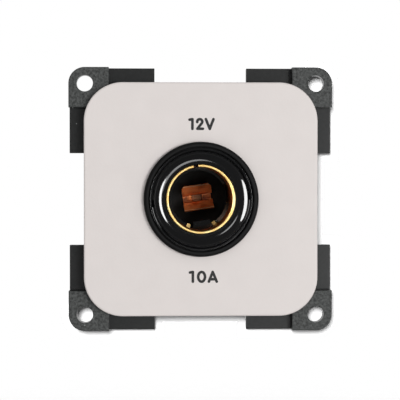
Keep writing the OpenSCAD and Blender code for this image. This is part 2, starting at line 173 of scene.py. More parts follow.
def apply_modifier(piece: Piece, kind: str, **settings: Any) -> None:
    """Adds a modifier and applies it at once.

    Args:
        piece: The object to change.
        kind: Blender's name for the kind of modifier.
        **settings: The modifier's settings.
    """
    modifier = piece.modifiers.new(kind.lower(), kind)
    for name, value in settings.items():
        setattr(modifier, name, value)
    isolate(piece)
    bpy.ops.object.modifier_apply(modifier=modifier.name)


def adopt(name: str) -> Piece:
    """Names the primitive that was just added.

    Args:
        name: Name for the object and its mesh.

    Returns:
        The new object.
    """
    piece = bpy.context.active_object
    piece.name = piece.data.name = name
    return piece


def turned(degrees: float, axis: str = "Z") -> Matrix:
    """Gives a turn round an axis."""
    return Matrix.Rotation(math.radians(degrees), 4, axis)


def settle(piece: Piece, matrix: Matrix) -> Piece:
    """Moves a piece by a matrix and applies its place to its mesh.

    Args:
        piece: The object to move.
        matrix: Transform in world space.

    Returns:
        The same object, at the origin.
    """
    piece.matrix_world = matrix @ piece.matrix_world
    isolate(piece)
    bpy.ops.object.transform_apply(location=True, rotation=True, scale=True)
    return piece


def block(name: str, low: Sequence[float], high: Sequence[float]) -> Piece:
    """Adds a box between two corners.

    Args:
        name: Name of the box.
        low: Lowest corner, in mm.
        high: Highest corner, in mm.

    Returns:
        The new object.
    """
    isolate()
    bpy.ops.mesh.primitive_cube_add(size=1.0)
    centre = [(a + b) / 2 for a, b in zip(low, high)]
    size = [b - a for a, b in zip(low, high)]
    return settle(adopt(name), Matrix.Translation(centre) @ Matrix.Diagonal((*size, 1.0)))


def drum(name: str, radius: float, back: float, front: float, at: Point = (0.0, 0.0),
         sides: int = ROUND_STEPS) -> Piece:
    """Adds a round bar along the socket's axis.

    Args:
        name: Name of the bar.
        radius: Radius, in mm.
        back: Lower height, in mm.
        front: Upper height, in mm.
        at: Centre across and up, in mm.
        sides: Number of sides; 6 gives a hexagon.

    Returns:
        The new object.
    """
    isolate()
    bpy.ops.mesh.primitive_cylinder_add(vertices=sides, radius=radius, depth=front - back,
                                        location=(*at, (front + back) / 2))
    return settle(adopt(name), Matrix.Identity(4))


def outline(name: str, points: Sequence[Point], filled: bool, upright: bool = False) -> Piece:
    """Adds a circle and draws its points out to an outline.

    Args:
        name: Name of the outline.
        points: Corners in order, across and up (or radius and height when upright), in mm.
        filled: Whether the outline holds a face.
        upright: Whether the outline stands on the XZ plane, ready to be spun.

    Returns:
        The new flat object.
    """
    isolate()
    bpy.ops.mesh.primitive_circle_add(vertices=len(points), radius=1.0,
                                      fill_type="NGON" if filled else "NOTHING")
    piece = adopt(name)
    for vertex, (a, b) in zip(piece.data.vertices, points):
        vertex.co = (a, 0.0, b) if upright else (a, b, 0.0)
    return piece


def face_outward(piece: Piece) -> None:
    """Merges doubles, drops loose edges and turns a closed mesh's normals outward.

    Args:
        piece: The object to mend.
    """
    edit(piece, Pick.VERTS)
    bpy.ops.mesh.remove_doubles(threshold=NEAR / 10)
    bpy.ops.mesh.delete_loose()
    bpy.ops.mesh.select_all(action="SELECT")
    bpy.ops.mesh.normals_make_consistent(inside=False)
    if bmesh.from_edit_mesh(piece.data).calc_volume(signed=True) < 0:
        bpy.ops.mesh.flip_normals()
    bpy.ops.object.mode_set(mode="OBJECT")


def thicken(piece: Piece, height: float, start: float) -> Piece:
    """Extrudes a flat piece along the axis and moves it to a height.

    Args:
        piece: The flat piece, in edit mode with all of it selected.
        height: How far it is extruded, in mm.
        start: Where it starts, in mm.

    Returns:
        The closed solid.
    """
    bpy.ops.mesh.extrude_region_move(TRANSFORM_OT_translate={"value": (0.0, 0.0, height)})
    bpy.ops.object.mode_set(mode="OBJECT")
    settle(piece, Matrix.Translation((0.0, 0.0, start)))
    face_outward(piece)
    return piece


def extruded(name: str, points: Sequence[Point], back: float, front: float) -> Piece:
    """Extrudes an outline along the axis.

    Args:
        name: Name of the piece.
        points: Corners across and up, in mm.
        back: Lower height, in mm.
        front: Upper height, in mm.

    Returns:
        The closed solid.
    """
    piece = outline(name, points, filled=True)
    edit(piece, Pick.FACES)
    return thicken(piece, front - back, back)


def spun(name: str, points: Sequence[Point], start: float = 0.0, span: float = 360.0,
         steps: int = ROUND_STEPS) -> Piece:
    """Spins an outline of radius and height round the socket's axis.

    Args:
        name: Name of the piece.
        points: Corners as radius and height, in mm.
        start: Angle at which the piece starts, in degrees.
        span: Angle that it covers, counter-clockwise, in degrees.
        steps: Steps in a full turn.

    Returns:
        The closed solid.
    """
    piece = outline(name, points, filled=span < 360.0, upright=True)
    edit(piece, Pick.VERTS)
    bpy.ops.mesh.spin(steps=max(2, round(steps * span / 360.0)), angle=-math.radians(span),
                      center=(0.0, 0.0, 0.0), axis=(0.0, 0.0, 1.0))
    bpy.ops.object.mode_set(mode="OBJECT")
    face_outward(piece)
    return settle(piece, turned(start))


def sector(start: float, span: float, inner: float, outer: float, back: float, front: float) -> Piece:
    """Adds a part of a thick ring, from its angles in degrees and its radii and heights in mm."""
    return spun("sector", [(inner, back), (outer, back), (outer, front), (inner, front)], start, span)


def combine(target: Piece, join: Join, *tools: Piece) -> Piece:
    """Cuts, fuses or trims a piece with tool bodies, which are used up.

    Args:
        target: The piece that stays.
        join: What the tools do.
        *tools: The bodies that act on it, in order.

    Returns:
        The target.
    """
    for tool in tools:
        apply_modifier(target, "BOOLEAN", operation=join.value, solver="EXACT", object=tool)
        mesh = tool.data
        bpy.data.objects.remove(tool)
        bpy.data.meshes.remove(mesh)
    return target


def drill(piece: Piece, radius: float, back: float, front: float, at: Point = (0.0, 0.0),
          sides: int = ROUND_STEPS) -> Piece:
    """Drills a round hole through all that lies between two heights."""
    return combine(piece, Join.CUT, drum("hole", radius, back - PAST, front + PAST, at, sides))


def round_edges(piece: Piece, test: Test, width: float, segments: int) -> None:
    """Rounds the edges that a test picks.

    Args:
        piece: The object to edit.
        test: Takes an edge's middle and direction, and says whether it is rounded.
        width: Radius of the rounding, in mm.
        segments: Faces across the rounding.
    """
    edit(piece, Pick.EDGES, "DESELECT")
    mesh = bmesh.from_edit_mesh(piece.data)
    for edge in mesh.edges:
        a, b = (vertex.co for vertex in edge.verts)
        if test((a + b) / 2, (b - a).normalized()):
            edge.select_set(True)
    mesh.select_flush_mode()
    bmesh.update_edit_mesh(piece.data)
    if not any(edge.select for edge in mesh.edges):
        log.warning("%s: no edge to round", piece.name)
    bpy.ops.mesh.bevel(offset=width, segments=segments, profile=0.5, affect="EDGES", clamp_overlap=False)
    bpy.ops.object.mode_set(mode="OBJECT")


def along_axis(middle: Vector, along: Vector) -> bool:
    """Picks the edges that run from front to back."""
    return abs(along.z) > ALIGNED


def level_at(height: float) -> Test:
    """Makes a test for the edges that lie flat at one height, in mm."""
    return lambda middle, along: abs(middle.z - height) < NEAR and abs(along.z) < NEAR


def rounded_slab(name: str, half: float, corner: float, back: float, front: float,
                 segments: int = 14) -> Piece:
    """Makes a square slab with round corners.

    Args:
        name: Name of the slab.
        half: Half of its side, in mm.
        corner: Corner radius, in mm.
        back: Lower height, in mm.
        front: Upper height, in mm.
        segments: Faces round each corner.

    Returns:
        The slab.
    """
    slab = block(name, (-half, -half, back), (half, half, front))
    round_edges(slab, along_axis, corner, segments)
    return slab


def quarter_turns(make: Callable[[], Piece]) -> list[Piece]:
    """Makes four copies of a piece, one at each quarter turn, each with its own mesh."""
    return [settle(make(), turned(90 * quarter)) for quarter in range(4)]


def ease_edges(piece: Piece, width: float) -> None:
    """Takes the sharpness off all sharp edges, as tumbling does to a stamping."""
    apply_modifier(piece, "BEVEL", width=width, segments=2, limit_method="ANGLE",
                   angle_limit=math.radians(40))


def finish_shape(piece: Piece, sharp: float) -> None:
    """Cleans a solid and shades it smooth below an angle, with its flat faces kept flat.

    Args:
        piece: The solid.
        sharp: Angle above which an edge stays sharp, in degrees.
    """
    face_outward(piece)
    isolate(piece)
    bpy.ops.object.shade_smooth_by_angle(angle=math.radians(sharp))
    apply_modifier(piece, "WEIGHTED_NORMAL", keep_sharp=True)
    mesh = bmesh.new()
    mesh.from_mesh(piece.data)
    log.info("%s: %d faces, %d open edges, %.1f mm3", piece.name, len(mesh.faces),
             sum(not edge.is_manifold for edge in mesh.edges), mesh.calc_volume(signed=True))
    mesh.free()


def arc(cx: float, cy: float, radius: float, start: float, end: float, steps: int) -> list[Point]:
    """Gives points along an arc, from its centre, radius, first and last angle in degrees and chords."""
    angles = [math.radians(start + (end - start) * i / steps) for i in range(steps + 1)]
    return [(cx + radius * math.cos(a), cy + radius * math.sin(a)) for a in angles]


def bend(a: Vector, b: Vector, c: Vector, reach: float, steps: int = 8) -> list[Vector]:
    """Gives a smooth bend that takes the place of corner b between a and c.

    Args:
        a: Point before the corner.
        b: The corner.
        c: Point after the corner.
        reach: Length that the bend takes on each side.
        steps: Number of chords.

    Returns:
        The points of the bend.
    """
    before = b + (a - b).normalized() * reach
    after = b + (c - b).normalized() * reach
    shares = [i / steps for i in range(steps + 1)]
    return [before * (1 - t) ** 2 + b * 2 * t * (1 - t) + after * t ** 2 for t in shares]


def half_circle(at: Vector, leg: Vector, radius: float, start: float) -> list[Vector]:
    """Gives a strip's round end, without its end points, from an angle to the strip's direction there."""
    turn = math.degrees(math.atan2(leg.y, leg.x)) + start
    return [Vector(p) for p in arc(*at, radius, turn, turn + 180, 10)[1:-1]]


def ribbon(path: Sequence[Point], width: float, round_ends: bool) -> list[Point]:
    """Gives the outline of a strip of even width along a path.

    Args:
        path: Points along the middle of the strip.
        width: Width of the strip.
        round_ends: Whether the ends are half circles.

    Returns:
        The outline, counter-clockwise from the start's right side.
    """
    sharpest_mitre = 0.7
    points = [Vector(p) for p in path]
    legs = [(b - a).normalized() for a, b in zip(points, points[1:])]
    sides = [Vector((-leg.y, leg.x)) for leg in legs]
    normals = [sides[0]]
    for before, after in zip(sides, sides[1:]):
        middle = (before + after).normalized()
        normals.append(middle / max(middle.dot(before), sharpest_mitre))
    normals.append(sides[-1])
    half = width / 2
    right = [p - n * half for p, n in zip(points, normals)]
    left = [p + n * half for p, n in zip(points, normals)]
    end = half_circle(points[-1], legs[-1], half, -90) if round_ends else []
    start = half_circle(points[0], legs[0], half, 90) if round_ends else []
    return [tuple(p) for p in right + end + left[::-1] + start]


# Materials

def linear(code: str) -> tuple[float, float, float, float]:
    """Turns an sRGB hex colour of six digits into linear RGBA."""
    parts = [int(code[i:i + 2], 16) / 255 for i in (0, 2, 4)]
    return (*[p / 12.92 if p <= 0.04045 else ((p + 0.055) / 1.055) ** 2.4 for p in parts], 1.0)


def per_mm(size: float) -> float:
    """Gives the texture scale at which one feature measures a size in mm."""
    return 1.0 / (size * MM)


def add_node(tree: Tree, kind: str, inputs: dict[str | int, Any] | None = None,
             out: str | int | None = 0, **settings: Any) -> Socket | None:
    """Adds a node, sets it and fills its inputs.

    Args:
        tree: The tree that gets the node.
        kind: Blender's name for the node, after "ShaderNode".
        inputs: A value or an output socket for each input, by name or number.
        out: The output to give back, or None for a node that ends the tree.
        **settings: The node's own settings.

    Returns:
        The output, if one was asked for.
    """
    node = tree.nodes.new(f"ShaderNode{kind}")
    for name, value in settings.items():
        setattr(node, name, value)
    for key, value in (inputs or {}).items():
        if isinstance(value, Socket):
            tree.links.new(value, node.inputs[key])
        else:
            node.inputs[key].default_value = value
    return None if out is None else node.outputs[out]


def make_material(name: str, surface: Callable[[Tree], Socket]) -> bpy.types.Material:
    """Makes a material.

    Args:
        name: Its name.
        surface: Fills its tree and gives the shader.

    Returns:
        The material.
    """
    material = bpy.data.materials.new(name)
    material.use_nodes = True
    material.node_tree.nodes.clear()
    shader = surface(material.node_tree)
    add_node(material.node_tree, "OutputMaterial", {"Surface": shader}, None)
    return material


@dataclass(frozen=True)
class Finish:
    """A surface as it was made; each kind builds its own shader."""

    name: str

    def surface(self, tree: Tree) -> Socket:
        """Builds the shader."""
        raise NotImplementedError

    def material(self) -> bpy.types.Material:
        """Gives the material, which is built at its first use."""
        return bpy.data.materials.get(self.name) or make_material(self.name, self.surface)


@dataclass(frozen=True)
class MouldedPlastic(Finish):
    """Injection-moulded plastic: one body colour, slightly uneven, with the mould's own surface in relief.

    A polished moulding can have a duller outside behind the plate, where the tool was left unpolished.
    """

    colour: str
    shade: str
    roughness: float
    spread: float
    grain_mm: float
    grain_depth_mm: float
    mottle_mm: float = 4.0
    ior: float = 1.5
    relief: float = 0.6
    rear_roughness: float | None = None

    def dull_rear(self, tree: Tree, place: Socket, gloss: Socket) -> Socket:
        """Makes the outside behind the plate duller.

        Args:
            tree: The tree to fill.
            place: The place on the object.
            gloss: The roughness elsewhere.

        Returns:
            The roughness everywhere.
        """
        flat = add_node(tree, "VectorMath", {0: place, 1: (1.0, 0.0, 1.0)}, operation="MULTIPLY")
        radius = add_node(tree, "VectorMath", {0: flat}, "Value", operation="LENGTH")
        outer = add_node(tree, "Math", {0: radius, 1: R.base * MM}, operation="GREATER_THAN")
        depth = add_node(tree, "SeparateXYZ", {"Vector": place}, "Y")
        behind = add_node(tree, "Math", {0: depth, 1: -Z.plate_back * MM}, operation="GREATER_THAN")
        rear = add_node(tree, "Math", {0: outer, 1: behind}, operation="MULTIPLY")
        return add_node(tree, "Mix", {0: rear, 2: gloss, 3: self.rear_roughness})

    def surface(self, tree: Tree) -> Socket:
        """Builds the shader.

        Args:
            tree: The tree to fill.

        Returns:
            The shader.
        """
        place = add_node(tree, "TexCoord", out="Object")
        mottle = add_node(tree, "TexNoise", {"Vector": place, "Scale": per_mm(self.mottle_mm), "Detail": 3.0})
        grain = add_node(tree, "TexNoise", {"Vector": place, "Scale": per_mm(self.grain_mm), "Detail": 2.0})
        colour = add_node(tree, "Mix", {0: mottle, 6: linear(self.shade), 7: linear(self.colour)}, 2,
                          data_type="RGBA")
        gloss = add_node(tree, "MapRange", {"Value": mottle, "To Min": self.roughness - self.spread,
                                            "To Max": self.roughness + self.spread})
        if self.rear_roughness is not None:
            gloss = self.dull_rear(tree, place, gloss)
        relief = add_node(tree, "Bump", {"Height": grain, "Strength": self.relief,
                                         "Distance": self.grain_depth_mm * MM})
        return add_node(tree, "BsdfPrincipled", {"Base Color": colour, "Roughness": gloss, "IOR": self.ior,
                                                 "Normal": relief})


@dataclass(frozen=True)
class GrainedFrame(Finish):
    """Dark ABS with spark-eroded fronts on the ears and plain moulded faces lower down.

    The ears get a lighter colour, painted light that stands in for the light their eroded grain scatters; the
    bars and the collar get a darker, even colour, painted shade. Both are speckled by the same grain.
    """

    painted_light_colour: str = "545655"
    painted_light_speckle: str = "262827"
    bar_colour_painted_shade: str = "242525"
    bar_speckle_painted_shade: str = "1e1f1f"
    speck_colour: str = "8a8c8b"
    front_roughness: float = 0.52
    low_roughness: float = 0.3
    ior: float = 1.36
    grain_mm: float = 0.5
    grain_depth_mm: float = 0.05
    grain_bite: float = 0.65
    grain_shares: Point = (0.35, 0.65)
    speck_mm: float = 2.6
    speck_shares: Point = (0.06, 0.03)
    split_mm: float = 2.2
    split_soft_mm: float = 0.3
    relief: float = 0.8

    def surface(self, tree: Tree) -> Socket:
        """Builds the shader.

        Args:
            tree: The tree to fill.

        Returns:
            The shader.
        """
        place = add_node(tree, "TexCoord", out="Object")
        depth = add_node(tree, "SeparateXYZ", {"Vector": place}, "Y")
        # The ears' raised faces get the painted-light colour; the lower faces get the painted-shade colour
        front = add_node(tree, "MapRange", {"Value": depth, "From Min": -self.split_mm * MM,
                                            "From Max": -(self.split_mm + self.split_soft_mm) * MM})
        # Real erosion pits are about 0.1 mm, too fine to show, so the speckle is drawn at 0.5 mm
        grain = add_node(tree, "TexNoise", {"Vector": place, "Scale": per_mm(self.grain_mm), "Detail": 3.0,
                                            "Roughness": self.grain_bite})
        speckle = add_node(tree, "MapRange", {"Value": grain, "From Min": self.grain_shares[0],
                                              "From Max": self.grain_shares[1]})
        # Lit and shaded copies of one plastic: ears painted lighter, bars painted darker, both with the grain
        # speckle
        high = add_node(tree, "Mix", {0: speckle, 6: linear(self.painted_light_speckle), 7: linear(self.painted_light_colour)},
                        2, data_type="RGBA")
        low = add_node(tree, "Mix", {0: speckle, 6: linear(self.bar_speckle_painted_shade), 7: linear(self.bar_colour_painted_shade)},
                       2, data_type="RGBA")
        body = add_node(tree, "Mix", {0: front, 6: low, 7: high}, 2, data_type="RGBA")
        # A few pale specks of dust, about 0.2 mm wide, as on the photographed bars
        dust = add_node(tree, "TexVoronoi", {"Vector": place, "Scale": per_mm(self.speck_mm)})
        speck = add_node(tree, "MapRange", {"Value": dust, "From Min": self.speck_shares[0],
                                            "From Max": self.speck_shares[1]})
        colour = add_node(tree, "Mix", {0: speck, 6: body, 7: linear(self.speck_colour)}, 2, data_type="RGBA")
        gloss = add_node(tree, "MapRange", {"Value": front, "To Min": self.low_roughness,
                                            "To Max": self.front_roughness})
        height = add_node(tree, "Math", {0: grain, 1: front}, operation="MULTIPLY")
        relief = add_node(tree, "Bump", {"Height": height, "Strength": self.relief,
                                         "Distance": self.grain_depth_mm * MM})
        return add_node(tree, "BsdfPrincipled", {"Base Color": colour, "Roughness": gloss, "IOR": self.ior,
                                                 "Normal": relief})


@dataclass(frozen=True)
class StripMetal(Finish):
    """Bare metal strip: clean colour, handling marks, faint rolling lines, and a sheared edge with a painted
    highlight.

    Oxide is the share of metal shine that the marks take away. The sheared edge starts at a height over the
    panel, and a strip without that height has none. Faces across the cut axis are sheared too. The sheared
    faces get a paler colour: partly the clean metal of a fresh cut, partly a painted highlight.
    """

    colour: str
    tarnish: str
    roughness: float
    spread: float
    oxide: float = 0.0
    front_mm: float | None = None
    painted_light_colour: str = "ffffff"
    painted_light_tarnish: str = "ffffff"
    front_roughness: float = 0.5
    front_soft_mm: float = 0.05
    cut_axis: str = "Y"
    cut_from: float = 0.9
    mark_mm: float = 1.6
    mark_shares: Point = (0.36, 0.62)
    line_mm: float = 0.25
    line_depth_mm: float = 0.004
    relief: float = 0.5
    stretch: tuple[float, float, float] = (1.0, 0.05, 1.0)

    def sheared(self, tree: Tree, place: Socket) -> Socket:
        """Tells the sheared faces, which take the painted highlight, from the rolled ones.

        Args:
            tree: The tree to fill.
            place: The place on the object.

        Returns:
            One on sheared faces and zero elsewhere.
        """
        depth = add_node(tree, "SeparateXYZ", {"Vector": place}, "Y")
        front = add_node(tree, "MapRange", {"Value": depth, "From Min": -self.front_mm * MM,
                                            "From Max": -(self.front_mm + self.front_soft_mm) * MM})
        facing = add_node(tree, "TexCoord", out="Normal")
        across = add_node(tree, "SeparateXYZ", {"Vector": facing}, self.cut_axis)
        away = add_node(tree, "Math", {0: across}, operation="ABSOLUTE")
        cut = add_node(tree, "Math", {0: away, 1: self.cut_from}, operation="GREATER_THAN")
        return add_node(tree, "Math", {0: front, 1: cut}, operation="MAXIMUM")

    def surface(self, tree: Tree) -> Socket:
        """Builds the shader.

        Args:
            tree: The tree to fill.

        Returns:
            The shader.
        """
        place = add_node(tree, "TexCoord", out="Object")
        drawn = add_node(tree, "Mapping", {"Vector": place, "Scale": self.stretch})
        lines = add_node(tree, "TexNoise", {"Vector": drawn, "Scale": per_mm(self.line_mm), "Detail": 2.0})
        marks = add_node(tree, "TexNoise", {"Vector": place, "Scale": per_mm(self.mark_mm), "Detail": 4.0})
        aged = add_node(tree, "MapRange", {"Value": marks, "From Min": self.mark_shares[0],
                                           "From Max": self.mark_shares[1]})
        colour = add_node(tree, "Mix", {0: aged, 6: linear(self.colour), 7: linear(self.tarnish)}, 2,
                          data_type="RGBA")
        gloss = add_node(tree, "MapRange", {"Value": marks, "To Min": self.roughness - self.spread,
                                            "To Max": self.roughness + self.spread})
        if self.front_mm is not None:
            sheared = self.sheared(tree, place)
            # The sheared faces get a paler colour: partly the clean metal of a fresh cut, partly a painted
            # highlight
            bright = add_node(tree, "Mix", {0: aged, 6: linear(self.painted_light_colour),
                                            7: linear(self.painted_light_tarnish)}, 2, data_type="RGBA")
            colour = add_node(tree, "Mix", {0: sheared, 6: colour, 7: bright}, 2, data_type="RGBA")
            gloss = add_node(tree, "Mix", {0: sheared, 2: gloss, 3: self.front_roughness})
        metal = 1.0
        if self.oxide > 0.0:
            metal = add_node(tree, "MapRange", {"Value": aged, "To Min": 1.0, "To Max": 1.0 - self.oxide})
        relief = add_node(tree, "Bump", {"Height": lines, "Strength": self.relief,
                                         "Distance": self.line_depth_mm * MM})
        return add_node(tree, "BsdfPrincipled", {"Base Color": colour, "Roughness": gloss, "Metallic": metal,
                                                 "Normal": relief})


# Injection-moulded ABS from a finely blasted tool: warm light grey with a soft sheen and almost no relief
PLATE_PLASTIC = MouldedPlastic("satin_moulded_abs", "dcd5d2", "d5cecb", 0.45, 0.04, 0.5, 0.02)
# Polished phenolic moulding: deep black that mirrors the lamps in thin bright arcs, duller behind the plate
GLOSS_BLACK = MouldedPlastic("polished_black_phenolic", "060607", "040405", 0.08, 0.02, 1.2, 0.003, ior=1.85,
                             rear_roughness=0.5)
# Fine satin moulding of the ring: the same black, but soft enough to show no lamp
SATIN_BLACK = MouldedPlastic("satin_black_moulding", "060607", "040405", 0.62, 0.03, 0.35, 0.006, ior=1.36)
# Glass-filled nylon nut: dull black, a little cloudy from the fibres
NUT_NYLON = MouldedPlastic("glass_filled_nylon", "222324", "191a1b", 0.55, 0.08, 0.3, 0.02)
# Pressed phenolic base: brown-black and matt, with a faint powdery mottle
BASE_PHENOLIC = MouldedPlastic("pressed_phenolic", "1a1714", "110f0d", 0.6, 0.08, 0.25, 0.015, 2.0, 1.4)
# Sealing varnish over the earth rivet: brown-black, thick and half glossy
SEAL_VARNISH = MouldedPlastic("sealing_varnish", "1a1714", "110f0d", 0.5, 0.08, 0.6, 0.02, 1.5, 1.4)
# Pad-printed ink: solid black, slightly satin over the plate
RATING_INK = MouldedPlastic("pad_printed_ink", "101010", "0b0b0b", 0.45, 0.03, 0.2, 0.004)
# Spark-eroded ABS frame: dark grey, painted lighter and speckled on the ears, painted darker and even on the
# bars
FRAME_ABS = GrainedFrame("spark_eroded_abs")
# Rolled brass sheet, sheared at its front edge and barbs: cream-yellow painted highlight there, darker inner
# wall
SLEEVE_BRASS = StripMetal("rolled_bright_brass", "d09444", "a06c30", 0.3, 0.06, front_mm=3.81,
                          painted_light_colour="ffeca8", painted_light_tarnish="f6cc80", front_roughness=0.42)
# Copper-alloy spring strip: deep orange-brown, dulled by handling, with a painted highlight where it was
# sheared
CLIP_COPPER = StripMetal("rolled_spring_copper", "ff9c60", "dc7a44", 0.36, 0.08, oxide=0.9,
                         front_mm=-13.02, painted_light_colour="ffe2c4", painted_light_tarnish="ffc090", front_roughness=0.4,
                         cut_axis="X", line_mm=0.32, line_depth_mm=0.012, stretch=(0.12, 1.0, 1.0))
# Solid brass rivets, gone brown inside the barrel: dull, and blotched by the same marks as the strip
RIVET_BRASS = StripMetal("cold_headed_aged_brass", "c89878", "96684c", 0.45, 0.08, oxide=0.6)
# Brass blades under dull tin: pale straw, cloudy where the tin has oxidised
TERMINAL_BRASS = StripMetal("stamped_tinned_brass", "dedac8", "ccc4a8", 0.4, 0.05, oxide=0.6)
# Zinc-plated steel washer: cool bright grey with cloudy plating
WASHER_ZINC = StripMetal("zinc_plated_steel", "c4c8cc", "9ba0a6", 0.3, 0.08)


def deliver(piece: Piece, node: str | None, finish: Finish, turn: float = 0.0,
            sharp: float = 32.0) -> Piece:
    """Finishes a piece's shape, stands it upright in metres, dresses it and ties it to the frame.

    Args:
        piece: The piece, drawn lying on the panel in mm.
        node: CAD node that it replaces, or None.
        finish: How its surface was made.
        turn: Turn round the socket's axis, in degrees.
        sharp: Angle above which an edge stays sharp, in degrees.

    Returns:
        The piece, in place.
    """
    finish_shape(piece, sharp)
    settle(piece, turned(90, "X") @ turned(turn) @ Matrix.Scale(MM, 4))
    piece.data.materials.clear()
    piece.data.materials.append(finish.material())
    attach(piece, "root")
    if node is not None:
        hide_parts(node)
    log.info("%s in place, finish %s", piece.name, finish.name)
    return piece


# The moulded frame and plate

@dataclass
class SupportFrame:
    """Dark frame: four raised ears with screw holes, low bars along the sides, and a collar behind."""

    out: float = 25.65
    corner: float = 3.15
    ear_len: float = 7.8
    ear_edge: float = 0.25
    hole_at: float = 22.5
    hole_r: float = 1.6
    hole_edge: float = 0.05
    bar_front: float = 1.2
    bar_inset: float = 0.15
    bar_end: float = 8.95
    bar_edge: float = 0.2
    bar_corner: float = 0.35
    collar_half: float = 21.0
    collar_in: float = 19.6
    collar_corner: float = 3.0
    inside_corner: float = 1.6
    collar_front: float = 2.4
    collar_back: float = -11.0
    rear_edge: float = 0.5
    rib_w: float = 0.8
    rib_h: float = 0.3
    rib_root: float = 0.7
    rib_front: float = 0.5
    window_w: float = 7.5
    window_back: float = -6.25
    window_front: float = -2.95

    def corners_of(self, slab: Piece, start: float, front: float) -> Piece:
        """Cuts a cross out of a slab, so that only its corners stay, from a distance to its middle lines."""
        far = 2 * self.out
        return combine(slab, Join.CUT, block("gap", (-start, -far, -PAST), (start, far, front + PAST)),
                       block("gap", (-far, -start, -PAST), (far, start, front + PAST)))

    def ears(self) -> Piece:
        """Makes the four raised ears.

        Returns:
            One object with four shells.
        """
        inner = self.out - self.ear_len
        slab = rounded_slab("frame_moulding", self.out, self.corner, 0.0, Z.ear_front)
        flat = level_at(Z.ear_front)
        round_edges(slab, flat, self.ear_edge, 3)
        self.corners_of(slab, inner, Z.ear_front)
        round_edges(slab, lambda middle, along: flat(middle, along)
                    and min(abs(abs(middle.x) - inner), abs(abs(middle.y) - inner)) < NEAR, self.ear_edge, 3)
        return slab

    def bars(self) -> Piece:
        """Makes the eight low bars, rounded at their outer ends.

        Returns:
            One object with four shells.
        """
        outer = self.out - self.bar_inset
        slab = rounded_slab("bars", outer, self.corner - self.bar_inset, 0.0, self.bar_front)
        round_edges(slab, level_at(self.bar_front), self.bar_edge, 3)
        self.corners_of(slab, self.bar_end, self.bar_front)
        round_edges(slab, lambda middle, along: along_axis(middle, along)
                    and max(abs(middle.x), abs(middle.y)) > outer - CLOSE
                    and min(abs(middle.x), abs(middle.y)) < self.bar_end + CLOSE, self.bar_corner, 4)
        return slab

    def collar(self) -> Piece:
        """Makes the collar with its crush ribs.

        Returns:
            The collar, still filled.
        """
        half = self.collar_half
        collar = rounded_slab("collar", half, self.collar_corner, self.collar_back, self.collar_front)
        round_edges(collar, level_at(self.collar_back), self.rear_edge, 4)
        for middle in (-self.bar_end - self.rib_w, self.bar_end + self.rib_w):
            low = (half - self.rib_root, middle - self.rib_w / 2, self.collar_back + self.rear_edge)
            high = (half + self.rib_h, middle + self.rib_w / 2, self.rib_front)
            combine(collar, Join.FUSE, *quarter_turns(lambda: block("rib", low, high)))
        return collar

    def at_hole(self, middle: Vector, along: Vector) -> bool:
        """Picks the front edges of the four screw holes."""
        away = (Vector((abs(middle.x), abs(middle.y))) - Vector((self.hole_at, self.hole_at))).length
        return level_at(Z.ear_front)(middle, along) and abs(away - self.hole_r) < CLOSE

    def build(self) -> Piece:
        """Makes the whole frame.

        Returns:
            The moulding.
        """
        piece = combine(self.ears(), Join.FUSE, self.bars(), self.collar())
        inside = rounded_slab("inside", self.collar_in, self.inside_corner, self.collar_back - PAST,
                              Z.ear_front + PAST, 8)
        holes = quarter_turns(lambda: drum("hole", self.hole_r, -PAST, Z.ear_front + PAST,
                                           (self.hole_at, self.hole_at), 64))
        windows = quarter_turns(lambda: block(
            "window", (self.collar_in - PAST, -self.window_w / 2, self.window_back),
            (self.collar_half + PAST, self.window_w / 2, self.window_front)))
        combine(piece, Join.CUT, inside, *holes, *windows)
        round_edges(piece, self.at_hole, self.hole_edge, 1)
        return deliver(piece, "support_frame", FRAME_ABS)


@dataclass
class FacePlate:
    """Light plate with a soft front edge, a locating rim, four snap legs and ribs behind."""

    half: float = 22.6
    corner: float = 7.5
    edge: float = 0.35
    root: float = 3.5
    rim_half: float = 19.45
    rim_corner: float = 1.6
    rim_t: float = 1.2
    rim_back: float = 0.4
    leg_w: float = 7.0
    leg_t: float = 1.3
    leg_back: float = -6.0
    hook_len: float = 1.15
    hook_slope: float = 2.0
    hook_catch: float = 0.8
    rib_t: float = 1.0
    rib_back: float = 1.6
    rib_start: float = 13.3

    def leg(self) -> Piece:
        """Makes the snap leg on the right side, with its hook.

        Returns:
            The leg.
        """
        inner, outer, hook = self.rim_half - self.leg_t, self.rim_half, self.rim_half + self.hook_len
        catch_back = self.leg_back + self.hook_slope
        catch_front = catch_back + self.hook_catch
        corners = [(inner, self.root), (inner, self.leg_back), (outer, self.leg_back), (hook, catch_back),
                   (hook, catch_front), (outer, catch_front), (outer, self.root)]
        return settle(extruded("leg", corners, -self.leg_w / 2, self.leg_w / 2), turned(90, "X"))

    def rib(self) -> Piece:
        """Makes one diagonal rib between the rim and the nut's seat.

        Returns:
            The rib.
        """
        end = self.rim_half * math.sqrt(2) - self.rim_corner
        low, high = (self.rib_start, -self.rib_t / 2, self.rib_back), (end, self.rib_t / 2, self.root)
        return settle(block("rib", low, high), turned(45))

    def build(self) -> Piece:
        """Makes the whole plate.

        Returns:
            The moulding.
        """
        piece = rounded_slab("plate_moulding", self.half, self.corner, Z.plate_back, Z.plate_front, 24)
        round_edges(piece, level_at(Z.plate_front), self.edge, 4)
        rim = rounded_slab("rim", self.rim_half, self.rim_corner, self.rim_back, self.root, 8)
        hollow = rounded_slab("hollow", self.rim_half - self.rim_t, self.rim_corner, self.rim_back - PAST,
                              Z.plate_front, 8)
        combine(rim, Join.CUT, hollow)
        combine(piece, Join.FUSE, rim, *quarter_turns(self.leg), *quarter_turns(self.rib))
        drill(piece, R.barrel_hole, 0.0, Z.plate_front)
        return deliver(piece, "face_plate", PLATE_PLASTIC)


# The socket's core

